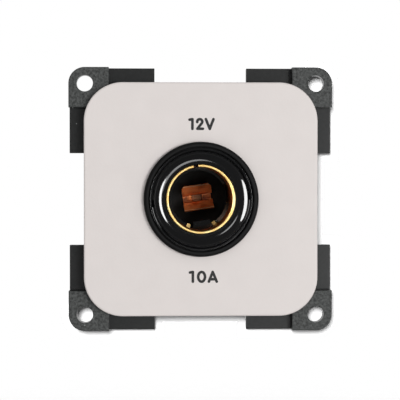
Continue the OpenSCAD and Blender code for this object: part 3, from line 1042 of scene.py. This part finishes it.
@dataclass
class SocketCore:
    """Trim ring, black body with its dished mouth, split brass sleeve, copper clip and base."""

    trim_front: float = 6.4
    trim_edge: float = 0.6
    trim_inner_edge: float = 0.25
    nose_edge: float = 0.05
    pitch: float = 1.0
    threads: int = 13
    key_w: float = 3.5
    key_r: float = 4.5
    key_root: float = 6.0
    key_edge: float = 0.12
    key_front: float = -8.6
    key_back: float = -12.6
    slot_in: float = 4.1
    slot_play: float = 0.3
    tail_w: float = 3.8
    tail_angle: float = 21.0
    sleeve_bevel: float = 0.2
    split_w: float = 0.9
    joggle_len: float = 0.5
    lug_bend: float = 1.6
    barb_h: float = 0.85
    barb_t: float = 0.5
    barb_front: float = -9.0
    barb_slope: float = 10.0
    barb_start: float = 0.5
    barb_span: float = 6.5
    barb_root: float = 0.1
    base_edge: float = 0.2
    sink_r: float = 1.15
    seal_r: float = 1.12
    seal_t: float = 0.16
    seal_sunk: float = 0.04
    seal_rise: float = 0.1
    seal_dome: float = 6.4
    clip_w: float = 6.1
    clip_len: float = 6.2
    clip_ease: float = 0.07
    foot_w: float = 5.9
    foot_half: float = 2.0
    foot_rise: float = 1.9
    throat: float = 1.0
    flare_up: float = 2.15
    flare_down: float = 1.9
    flare_len: float = 1.5
    corner_cut: float = 0.9
    bend_len: float = 0.6
    fit: float = 0.15

    def trim(self) -> Piece:
        """Makes the ring round the nose.

        Returns:
            The ring.
        """
        outer, inner, front = self.trim_edge, self.trim_inner_edge, self.trim_front
        profile = [(R.barrel_hole, Z.plate_front), (R.trim_out, Z.plate_front),
                   *arc(R.trim_out - outer, front - outer, outer, 0, 90, 12),
                   *arc(R.trim_in + inner, front - inner, inner, 90, 180, 8),
                   (R.trim_in, Z.nose_back), (R.barrel_hole, Z.nose_back)]
        return spun("trim_moulding", profile)

    def slot_tools(self, inner: float, back: float, front: float) -> list[Piece]:
        """Makes the bodies that cut the lugs' grooves and the tail's.

        Args:
            inner: Inner radius of the grooves, in mm.
            back: Lower height, in mm.
            front: Upper height, in mm.

        Returns:
            Three cutting bodies.
        """
        ring = (inner, R.groove, back, front)
        lugs = [sector(start - self.slot_play, LUG_SPAN + 2 * self.slot_play, *ring) for start in LUG_STARTS]
        half = self.tail_w / 2 + self.fit
        band = block("band", (0, -half, back - PAST), (R.barrel, half, front + PAST))
        return [*lugs, combine(sector(-self.tail_angle, 2 * self.tail_angle, *ring), Join.KEEP, band)]

    def body(self) -> Piece:
        """Makes the black body: nose, dish, threaded barrel, chamber and key.

        Returns:
            The moulding.
        """
        steps = 28
        wide, deep = R.mouth - R.dish, Z.nose_front - Z.dish_floor
        dish = [(R.dish + wide * math.cos(a), Z.nose_front - deep * math.sin(a))
                for a in (math.radians(90 * i / steps) for i in range(steps + 1))]
        # Each turn rises over 0.4 of the pitch, is flat for 0.1, falls over 0.4 and rests for 0.1
        thread = [(radius, Z.plate_back - (turn + share) * self.pitch)
                  for turn in reversed(range(self.threads))
                  for radius, share in ((R.thread_root, 0.9), (R.barrel, 0.5), (R.barrel, 0.4),
                                        (R.thread_root, 0.0))]
        nose = arc(R.nose - self.nose_edge, Z.nose_front - self.nose_edge, self.nose_edge, 0, 90, 6)
        profile = [(R.nose, Z.nose_back), *nose, *dish,
                   (R.dish, Z.moat_floor), (R.sleeve_hole, Z.moat_floor), (R.sleeve_hole, Z.shoulder),
                   (R.chamber, Z.shoulder), (R.chamber, Z.base_front), (R.base_seat, Z.base_front),
                   (R.base_seat, Z.base_back), (R.thread_root, Z.base_back), *thread,
                   (R.barrel, Z.plate_back), (R.barrel, Z.nose_back)]
        piece = spun("body_moulding", profile)
        combine(piece, Join.CUT, *self.slot_tools(self.slot_in, Z.base_front - PAST, Z.sleeve_back))
        half = self.key_w / 2
        key = block("key", (-half, -self.key_root, self.key_back), (half, -self.key_r, self.key_front))
        round_edges(key, lambda middle, along: abs(middle.y + self.key_r) < NEAR, self.key_edge, 3)
        return combine(piece, Join.FUSE, key)

    def sleeve(self) -> Piece:
        """Makes the split brass sleeve with its two lugs and its tail.

        Returns:
            The sleeve.
        """
        bottom = Z.base_back - SLEEVE_T
        foot_in = EARTH_RIVET_X - R.rivet_head
        joggle = Z.sleeve_back - self.joggle_len
        bevel, crest = self.sleeve_bevel, Z.sleeve_front - self.sleeve_bevel
        profile = [(R.lug_out, bottom), (R.lug_out, joggle), (R.sleeve_out, Z.sleeve_back),
                   *arc(R.sleeve_out - bevel, crest, bevel, 0, 90, 4),
                   *arc(R.sleeve_in + bevel, crest, bevel, 90, 180, 4),
                   (R.sleeve_in, Z.sleeve_back), (R.lug_in, joggle), (R.lug_in, Z.base_back),
                   (foot_in, Z.base_back), (foot_in, bottom)]
        half_split = math.degrees(math.asin(self.split_w / 2 / R.sleeve_in))
        piece = spun("sleeve_rolled", profile, 90 + half_split, 360 - 2 * half_split)
        waste = drum("waste", R.lug_out + PAST, bottom - PAST, Z.sleeve_back)
        far, low, high = R.lug_out + 2 * PAST, bottom - 2 * PAST, Z.sleeve_back + PAST
        tail = block("tail", (0, -self.tail_w / 2, low), (far, self.tail_w / 2, high))
        lugs = [sector(start, LUG_SPAN, R.lug_in - self.lug_bend, far, low, high) for start in LUG_STARTS]
        combine(piece, Join.CUT, combine(waste, Join.CUT, tail, *lugs))
        combine(piece, Join.FUSE, *[self.barb(start) for start in LUG_STARTS])
        drill(piece, R.rivet_hole, bottom, Z.base_back, (EARTH_RIVET_X, 0), 32)
        return piece

    def barb(self, start: float) -> Piece:
        """Makes the barb that is lanced out of a lug and hooks behind the shoulder.

        Args:
            start: Angle at which the lug starts, in degrees.

        Returns:
            The barb.
        """
        tip, root = R.lug_in - self.barb_h, R.lug_in + self.barb_root
        back = self.barb_front - self.barb_t
        drop = self.barb_h * math.tan(math.radians(self.barb_slope))
        profile = [(tip, back), (root, back), (root, self.barb_front), (tip, self.barb_front - drop)]
        return spun("barb", profile, start + self.barb_start, self.barb_span)

    def base(self) -> Piece:
        """Makes the insulating disc that closes the barrel.

        Returns:
            The disc.
        """
        back, front = Z.base_back, Z.base_front
        piece = drum("base_moulding", R.base, back, front)
        round_edges(piece, level_at(back), self.base_edge, 3)
        combine(piece, Join.CUT, *self.slot_tools(R.lug_in - self.fit, back - PAST, front + PAST))
        for x in (0.0, EARTH_RIVET_X):
            drill(piece, R.rivet_hole, back, front, (x, 0), 32)
        sink = drum("sink", self.sink_r, front - EARTH_SINK, front + PAST, (EARTH_RIVET_X, 0), 48)
        return combine(piece, Join.CUT, sink)

    def seal(self) -> Piece:
        """Makes the drop of varnish that insulates the earth rivet's head in its recess.

        Returns:
            The drop.
        """
        front = Z.base_front - self.seal_sunk
        rim = front - self.seal_rise
        profile = [(0.0, rim - self.seal_t), (self.seal_r, rim - self.seal_t), (self.seal_r, rim),
                   *arc(0.0, front - self.seal_dome, self.seal_dome, 78, 90, 6)]
        drop = spun("varnish_drop", profile, steps=48)
        return settle(drop, Matrix.Translation((EARTH_RIVET_X, 0, 0)))

    def leaf(self, flare: float) -> list[Vector]:
        """Gives the path of one leaf, from the middle of the foot to the mouth.

        Args:
            flare: Height of the flared mouth over the throat, in mm.

        Returns:
            Points as height from the axis and place along it.
        """
        half = CLIP_T / 2
        high = Z.base_front + self.clip_len
        foot = Vector((0.0, Z.base_front + half))
        heel = Vector((self.foot_half - half, Z.base_front + half))
        throat = Vector((self.throat / 2 + half, high - self.flare_len))
        mouth = Vector((throat.x + flare - half, high - half))
        return [foot, *bend(foot, heel, throat, self.bend_len), *bend(heel, throat, mouth, self.bend_len),
                mouth]

    def clip(self) -> Piece:
        """Makes the copper clip from one bent strip.

        Returns:
            The clip.
        """
        upper = self.leaf(self.flare_up)
        lower = [Vector((-p.x, p.y)) for p in self.leaf(self.flare_down)]
        path = [tuple(p) for p in lower[:0:-1] + upper[1:]]
        half = self.clip_w / 2
        piece = extruded("clip_stamping", ribbon(path, CLIP_T, False), -half, half)
        settle(piece, turned(90) @ turned(90, "X"))
        side, reach = self.corner_cut * math.sqrt(2) / 2, 2 * self.flare_len
        mouth_y = self.throat / 2 + self.flare_up + CLIP_T
        mouth_z = Z.base_front + self.clip_len
        for sign in (-1, 1):
            middle = sign * (half + self.foot_w / 2)
            beside = block("beside", (middle - half, -self.clip_w, Z.base_front - PAST),
                           (middle + half, self.clip_w, Z.base_front + self.foot_rise))
            corner = settle(block("corner", (-side, -side, -reach), (side, side, reach)),
                            Matrix.Translation((sign * half, mouth_y, mouth_z - self.flare_len)) @ turned(45))
            combine(piece, Join.CUT, beside, corner)
        drill(piece, R.rivet_hole, Z.base_front, Z.base_front + CLIP_T, sides=32)
        ease_edges(piece, self.clip_ease)
        return piece

    def build(self) -> list[Piece]:
        """Makes and dresses the core.

        Returns:
            Its pieces.
        """
        return [deliver(self.trim(), "trim_ring", SATIN_BLACK),
                deliver(self.body(), "socket_body", GLOSS_BLACK, CORE_TURN, sharp=20.0),
                deliver(self.sleeve(), "contact_sleeve", SLEEVE_BRASS, CORE_TURN),
                deliver(self.base(), "contact_base", BASE_PHENOLIC, CORE_TURN),
                deliver(self.clip(), "centre_clip", CLIP_COPPER, CORE_TURN),
                deliver(self.seal(), None, SEAL_VARNISH, CORE_TURN)]


# Fittings behind the plate

@dataclass
class RearFittings:
    """Nut and washer on the barrel, and the blades with their rivets."""

    nut_flat: float = 11.0
    nut_h: float = 4.0
    washer_t: float = 0.8
    washer_r: float = 12.0
    washer_edge: float = 0.15
    blade_w: float = 6.3
    blade_t: float = 0.8
    blade_len: float = 8.0
    blade_hole_r: float = 0.85
    blade_cut: float = 1.0
    blade_ease: float = 0.06
    foot_w: float = 4.4
    foot_end: float = 0.4
    centre_foot: float = 3.8
    rivet_r: float = 0.7
    head_h: float = 0.5
    head_edge: float = 0.2

    def nut(self) -> Piece:
        """Makes the hexagon nut with its turned-off corners.

        Returns:
            The nut.
        """
        front = Z.plate_back - self.washer_t
        back = front - self.nut_h
        corner = self.nut_flat / math.cos(math.radians(30))
        drop = (corner - self.nut_flat) * math.tan(math.radians(30))
        piece = settle(drum("nut_moulding", corner, back, front, sides=6), turned(30))
        profile = [(R.barrel_hole, back), (self.nut_flat, back), (corner, back + drop), (corner, front),
                   (R.barrel_hole, front)]
        return combine(piece, Join.KEEP, spun("turned", profile))

    def washer(self) -> Piece:
        """Makes the washer with its rolled edge.

        Returns:
            The washer.
        """
        front, edge = Z.plate_back, self.washer_edge
        back = front - self.washer_t
        profile = [(R.barrel_hole, back), *arc(self.washer_r - edge, back + edge, edge, -90, 0, 4),
                   (self.washer_r, front), (R.barrel_hole, front)]
        return spun("washer_stamping", profile)

    def terminal(self, name: str, rivet_x: float, foot: Point, blade_x: float, front: float) -> Piece:
        """Makes a flat blade bent from a riveted foot.

        Args:
            name: Name of the piece.
            rivet_x: Place of the rivet across, in mm.
            foot: Where the foot starts and ends across, in mm.
            blade_x: Where the blade's thickness starts across, in mm.
            front: Height of the foot's front face, in mm.

        Returns:
            The terminal.
        """
        back = front - self.blade_t
        tip = back - self.blade_len
        wide, narrow = self.blade_w / 2, self.foot_w / 2
        piece = block(name, (blade_x, -wide, tip), (blade_x + self.blade_t, wide, front))
        round_edges(piece, lambda middle, along: abs(middle.z - tip) < NEAR and abs(along.x) > ALIGNED,
                    self.blade_cut, 1)
        combine(piece, Join.FUSE, block("foot", (foot[0], -narrow, back), (foot[1], narrow, front)))
        eye = drum("eye", self.blade_hole_r, -2 * PAST, 2 * PAST, sides=40)
        settle(eye, Matrix.Translation((blade_x, 0, back - self.blade_len / 2)) @ turned(90, "Y"))
        combine(piece, Join.CUT, eye)
        drill(piece, R.rivet_hole, back, front, (rivet_x, 0), 32)
        ease_edges(piece, self.blade_ease)
        return piece

    def rivet(self, name: str, x: float, front: float, back: float) -> Piece:
        """Makes a rivet with a low domed head at both ends.

        Args:
            name: Name of the piece.
            x: Its place across, in mm.
            front: Height under the front head, in mm.
            back: Height over the rear head, in mm.

        Returns:
            The rivet.
        """
        edge, head = self.head_edge, R.rivet_head
        low, high = back - self.head_h, front + self.head_h
        profile = [(0.0, low), *arc(head - edge, low + edge, edge, -90, 0, 4), (head, back),
                   (self.rivet_r, back), (self.rivet_r, front), (head, front),
                   *arc(head - edge, high - edge, edge, 0, 90, 4), (0.0, high)]
        return settle(spun(name, profile, steps=48), Matrix.Translation((x, 0, 0)))

    def build(self) -> list[Piece]:
        """Makes and dresses the fittings.

        Returns:
            The pieces.
        """
        head, blade_t = R.rivet_head, self.blade_t
        earth_front = Z.base_back - SLEEVE_T
        centre = self.terminal("terminal_centre", 0.0, (-self.centre_foot, head + self.foot_end),
                               -self.centre_foot, Z.base_back)
        earth = self.terminal("terminal_earth", EARTH_RIVET_X, (EARTH_RIVET_X - head, R.lug_out),
                              R.lug_out - blade_t, earth_front)
        centre_rivet = self.rivet("rivet_centre", 0.0, Z.base_front + CLIP_T, Z.base_back - blade_t)
        earth_rivet = self.rivet("rivet_earth", EARTH_RIVET_X, Z.base_front - EARTH_SINK,
                                 earth_front - blade_t)
        return [deliver(self.nut(), "ring_nut", NUT_NYLON),
                deliver(self.washer(), "clamp_washer", WASHER_ZINC),
                deliver(centre, "centre_terminal", TERMINAL_BRASS, CORE_TURN),
                deliver(earth, "earth_terminal", TERMINAL_BRASS, CORE_TURN),
                deliver(centre_rivet, "centre_rivet", RIVET_BRASS, CORE_TURN),
                deliver(earth_rivet, "earth_rivet", RIVET_BRASS, CORE_TURN)]


# The printed ratings

@dataclass
class PrintedRating:
    """Plain voltage and current ratings in ink, drawn as rounded strokes of even width."""

    stroke: float = 0.52
    height: float = 1.87
    zero_half: float = 0.66
    bowl_r: float = 0.49
    film: float = 0.02
    volts_at: float = 13.6
    amps_at: float = -15.92

    def strokes(self, sign: str) -> list[list[Point]]:
        """Gives the strokes of one sign, with its lower left corner at the origin.

        Args:
            sign: One of 1, 2, V and A.

        Returns:
            Paths in mm.
        """
        top, r = self.height, self.bowl_r
        bowl = [*arc(r, top - r, r, 188, -28, 14), (0.04, 0.02)]
        drawn = {"1": [[(0.0, top - 0.1), (0.56, top)], [(0.56, top), (0.56, 0.0)]],
                 "2": [bowl, [(0.04, 0.02), (1.1, 0.02)]],
                 "V": [[(0.0, top), (0.75, 0.0)], [(0.75, 0.0), (1.46, top)]],
                 "A": [[(0.0, 0.0), (0.74, top)], [(0.74, top), (1.52, 0.0)], [(0.36, 0.46), (1.16, 0.46)]]}
        return drawn[sign]

    def ring(self, x: float, y: float) -> Piece:
        """Makes the figure 0 as an oval ring.

        Args:
            x: Left edge of its stroke's middle line, in mm.
            y: Foot of its stroke's middle line, in mm.

        Returns:
            The ring.
        """
        steps, wide, tall, half = 48, self.zero_half, self.height / 2, self.stroke / 2
        angles = [math.radians(360 * i / steps) for i in range(steps)]
        oval = [((wide + half) * math.cos(a), (tall + half) * math.sin(a)) for a in angles]
        piece = outline("ink", oval, filled=True)
        edit(piece, Pick.FACES)
        bpy.ops.mesh.inset(thickness=self.stroke, depth=0.0)
        bpy.ops.mesh.delete(type="FACE")
        bpy.ops.mesh.select_all(action="SELECT")
        thicken(piece, 2 * self.film, Z.plate_front - self.film)
        return settle(piece, Matrix.Translation((x + wide, y + tall, 0.0)))

    def line(self, name: str, signs: Sequence[tuple[str, float]], y: float) -> Piece:
        """Makes one line of print.

        Args:
            name: Name of the piece.
            signs: Each sign with the left edge of its stroke's middle line, in mm.
            y: Foot of the line, in mm.

        Returns:
            The whole line as one piece.
        """
        back, front = Z.plate_front - self.film, Z.plate_front + self.film
        parts: list[Piece] = []
        for sign, x in signs:
            if sign == "0":
                parts.append(self.ring(x, y))
                continue
            for path in self.strokes(sign):
                edge = ribbon([(a + x, b + y) for a, b in path], self.stroke, True)
                parts.append(extruded("ink", edge, back, front))
        first, *others = parts
        combine(first, Join.FUSE, *others)
        first.name = first.data.name = name
        return deliver(first, None, RATING_INK)

    def build(self) -> list[Piece]:
        """Makes and dresses both lines.

        Returns:
            The pieces.
        """
        return [self.line("rating_volts", (("1", -2.22), ("2", -0.74), ("V", 0.94)), self.volts_at),
                self.line("rating_amps", (("1", -2.14), ("0", -0.55), ("A", 1.52)), self.amps_at)]


# Studio

def aimed(name: str, data: bpy.types.ID, right: float, above: float, distance: float,
          target: Vector) -> bpy.types.Object:
    """Adds a lamp or a camera that looks at a point.

    Args:
        name: Its name.
        data: The lamp's or camera's data.
        right: Angle to the right of the point's front, in degrees.
        above: Angle above it, in degrees.
        distance: Distance from it, in metres.
        target: The point.

    Returns:
        The new object.
    """
    thing = bpy.data.objects.new(name, data)
    bpy.context.scene.collection.objects.link(thing)
    across, up = math.radians(right), math.radians(above)
    away = Vector((math.sin(across) * math.cos(up), -math.cos(across) * math.cos(up), math.sin(up)))
    thing.location = target + away * distance
    thing.rotation_mode = "QUATERNION"
    thing.rotation_quaternion = (-away).to_track_quat("-Z", "Y")
    return thing


@dataclass(frozen=True)
class Softbox:
    """Soft oval lamp, placed by angles as seen from the socket."""

    name: str
    right_of_axis: float
    above_axis: float
    wide_angle: float
    tall_angle: float
    radiance: float
    distance: float = 4.0

    def build(self) -> bpy.types.Object:
        """Adds the lamp, facing the socket.

        Returns:
            The lamp.
        """
        light = bpy.data.lights.new(self.name, "AREA")
        light.shape = "ELLIPSE"
        light.size, light.size_y = (2 * self.distance * math.tan(math.radians(angle / 2))
                                    for angle in (self.wide_angle, self.tall_angle))
        light.energy = self.radiance * math.pi * math.pi / 4 * light.size * light.size_y
        lamp = aimed(self.name, light, self.right_of_axis, self.above_axis, self.distance, Vector())
        lamp.visible_camera = False
        return lamp


@dataclass
class Studio:
    """Plain pale floor and backing card, soft lamps and the camera at the photograph's angle."""

    distance: float = 0.3
    azimuth: float = -2.1
    elevation: float = 1.0
    aim: tuple[float, float, float] = (-0.0002, -0.005, -0.00013)
    px_per_mm: float = 5.177
    view_from: float = 0.01
    view_to: float = 10.0
    ambient: float = 0.53
    room: float = 0.09
    room_span: Point = (-0.3, 0.5)
    floor_z: float = -0.07
    floor_fade: float = 0.12
    floor_end: float = 0.25
    floor_lift: float = 0.42
    card_gap: float = 0.3
    card_t: float = 0.1
    card_rim: float = 1.5
    card_in: float = 20.6
    strips: tuple[Softbox, ...] = (Softbox("softbox_right", 26.0, 0.0, 21.0, 26.0, 11.5),
                                   Softbox("softbox_low", 9.0, -10.5, 18.0, 16.0, 2.6),
                                   Softbox("softbox_high", -12.0, 12.0, 12.0, 12.0, 3.0))
    side_strip: Softbox = Softbox("softbox_left", -72.0, 1.0, 44.0, 54.0, 10.0)
    card_lamp: Softbox = Softbox("card_lamp", -10.5, 14.5, 22.0, 22.0, 62.0)

    def floor_surface(self, tree: Tree) -> Socket:
        """Builds a pale surface that fades out at its rim, keeps shadows and is clear from below.

        Args:
            tree: The tree to fill.

        Returns:
            The shader.
        """
        place = add_node(tree, "TexCoord", out="Object")
        far = add_node(tree, "VectorMath", {0: place}, "Value", operation="LENGTH")
        near = add_node(tree, "MapRange", {"Value": far, "From Min": self.floor_end,
                                           "From Max": self.floor_fade}, interpolation_type="SMOOTHSTEP")
        below = add_node(tree, "NewGeometry", out="Backfacing")
        shown = add_node(tree, "Math", {0: near, 1: below}, operation="SUBTRACT", use_clamp=True)
        seen = add_node(tree, "LightPath", out="Is Camera Ray")
        lift = add_node(tree, "Math", {0: seen, 1: self.floor_lift}, operation="MULTIPLY")
        white = add_node(tree, "BsdfDiffuse", {"Color": linear("f4f4f4")})
        pale = add_node(tree, "Emission", {"Color": linear("ffffff"), "Strength": lift})
        lifted = add_node(tree, "AddShader", {0: white, 1: pale})
        clear = add_node(tree, "BsdfTransparent")
        return add_node(tree, "MixShader", {0: shown, 1: clear, 2: lifted})

    def floor(self) -> Piece:
        """Builds the pale floor under the object.

        Returns:
            The floor.
        """
        isolate()
        bpy.ops.mesh.primitive_circle_add(vertices=96, radius=self.floor_end + MM, fill_type="NGON",
                                          location=(0, 0, self.floor_z))
        floor = adopt("studio_floor")
        floor.data.materials.append(make_material("pale_floor_card", self.floor_surface))
        floor.visible_glossy = False
        return floor

    def card_surface(self, tree: Tree) -> Socket:
        """Builds a surface that is white in front and clear elsewhere, so that the card hides nothing behind.

        Args:
            tree: The tree to fill.

        Returns:
            The shader.
        """
        facing = add_node(tree, "TexCoord", out="Normal")
        depth = add_node(tree, "SeparateXYZ", {"Vector": facing}, "Y")
        front = add_node(tree, "Math", {0: depth, 1: -0.5}, operation="LESS_THAN")
        clear = add_node(tree, "BsdfTransparent")
        white = add_node(tree, "BsdfDiffuse", {"Color": linear("bcbcbc")})
        return add_node(tree, "MixShader", {0: front, 1: clear, 2: white})

    def card(self) -> Piece:
        """Builds the backing card: a thin sheet behind the right and lower rim, where the shadow falls.

        Returns:
            The card.
        """
        rear, rim, inner = SupportFrame(), self.card_rim, self.card_in
        out, notch, narrow = rear.out + rim, rear.bar_end - rim, FacePlate().half + rim
        low, high = -self.card_gap - self.card_t - PAST, -self.card_gap + PAST
        card = rounded_slab("studio_card", out, rear.corner + rim, low + PAST, high - PAST, 8)
        gaps = quarter_turns(lambda: block("gap", (narrow, -notch, low), (out + PAST, notch, high)))
        opening = block("opening", (-out - PAST, -inner, low), (inner, out + PAST, high))
        combine(card, Join.CUT, *gaps, opening)
        settle(card, turned(90, "X") @ Matrix.Scale(MM, 4))
        card.data.materials.append(make_material("pale_backing_card", self.card_surface))
        card.visible_glossy = card.visible_diffuse = card.visible_transmission = card.visible_shadow = False
        return card

    def flag(self, lamp: bpy.types.Object, pieces: Sequence[Piece], lit: bool) -> None:
        """Flags a lamp, as with black boards, so that it lights some pieces alone or all but them.

        Args:
            lamp: The lamp.
            pieces: The pieces that it lights alone, or that it leaves out.
            lit: Whether it lights them.
        """
        reach = bpy.data.collections.new(f"{lamp.name}_reach")
        for piece in pieces:
            reach.objects.link(piece)
        for member in reach.collection_objects:
            member.light_linking.link_state = "INCLUDE" if lit else "EXCLUDE"
        lamp.light_linking.receiver_collection = reach

    def lights(self, card: Piece, mouth: Sequence[Piece]) -> None:
        """Adds the lamps: soft ones for the object, one for the mouth alone, and the card's own.

        The second draws the highlight on the dish's side. The third throws the tight shadow that the
        photograph's ground has.

        Args:
            card: The backing card.
            mouth: The pieces that the side lamp lights.
        """
        for strip in self.strips:
            self.flag(strip.build(), [card], False)
        self.flag(self.side_strip.build(), mouth, True)
        key = self.card_lamp.build()
        key.visible_glossy = False
        self.flag(key, [card], True)

    def world(self) -> None:
        """Builds a white background over a soft ambient light, darker behind the camera for reflections."""
        world = bpy.data.worlds.new("studio")
        bpy.context.scene.world = world
        world.use_nodes = True
        tree = world.node_tree
        tree.nodes.clear()
        towards = add_node(tree, "TexCoord", out="Generated")
        depth = add_node(tree, "SeparateXYZ", {"Vector": towards}, "Y")
        room = add_node(tree, "MapRange", {"Value": depth, "From Min": self.room_span[0],
                                           "From Max": self.room_span[1], "To Min": self.room},
                        interpolation_type="SMOOTHSTEP")
        glossy = add_node(tree, "LightPath", out="Is Glossy Ray")
        through = add_node(tree, "LightPath", out="Is Transmission Ray")
        seen = add_node(tree, "LightPath", out="Is Camera Ray")
        mirrored = add_node(tree, "Math", {0: glossy, 1: through}, operation="MAXIMUM")
        soft = add_node(tree, "Mix", {0: mirrored, 2: self.ambient, 3: room})
        level = add_node(tree, "Math", {0: soft, 1: seen}, operation="MAXIMUM")
        back = add_node(tree, "Background", {"Color": linear("ffffff"), "Strength": level})
        add_node(tree, "OutputWorld", {"Surface": back}, None)

    def camera(self) -> None:
        """Sets the camera where the photograph was taken from."""
        data = bpy.data.cameras.new("camera")
        data.lens = data.sensor_width * self.px_per_mm * self.distance / MM / PHOTO_PX
        data.clip_start, data.clip_end = self.view_from, self.view_to
        bpy.context.scene.camera = aimed("camera", data, self.azimuth, self.elevation, self.distance,
                                         Vector(self.aim))

    def build(self, mouth: Sequence[Piece]) -> None:
        """Builds the whole studio.

        Args:
            mouth: The pieces in the socket's mouth, which the side lamp lights.
        """
        bpy.context.scene.view_settings.view_transform = "Standard"
        card = self.card()
        for sheet in (card, self.floor()):
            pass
        self.lights(card, mouth)
        self.world()
        self.camera()
        log.info("studio: %d lamps, card and floor in place", len(self.strips) + 2)


def main() -> None:
    """Builds the object and the studio."""
    logging.basicConfig(level=logging.INFO, format="%(message)s")
    trim, *core = SocketCore().build()
    pieces = [trim, *core, SupportFrame().build(), FacePlate().build(), *RearFittings().build(),
              *PrintedRating().build()]
    Studio().build(core)
    isolate()
    log.info("%d pieces made", len(pieces))


if __name__ == "__main__":
    main()
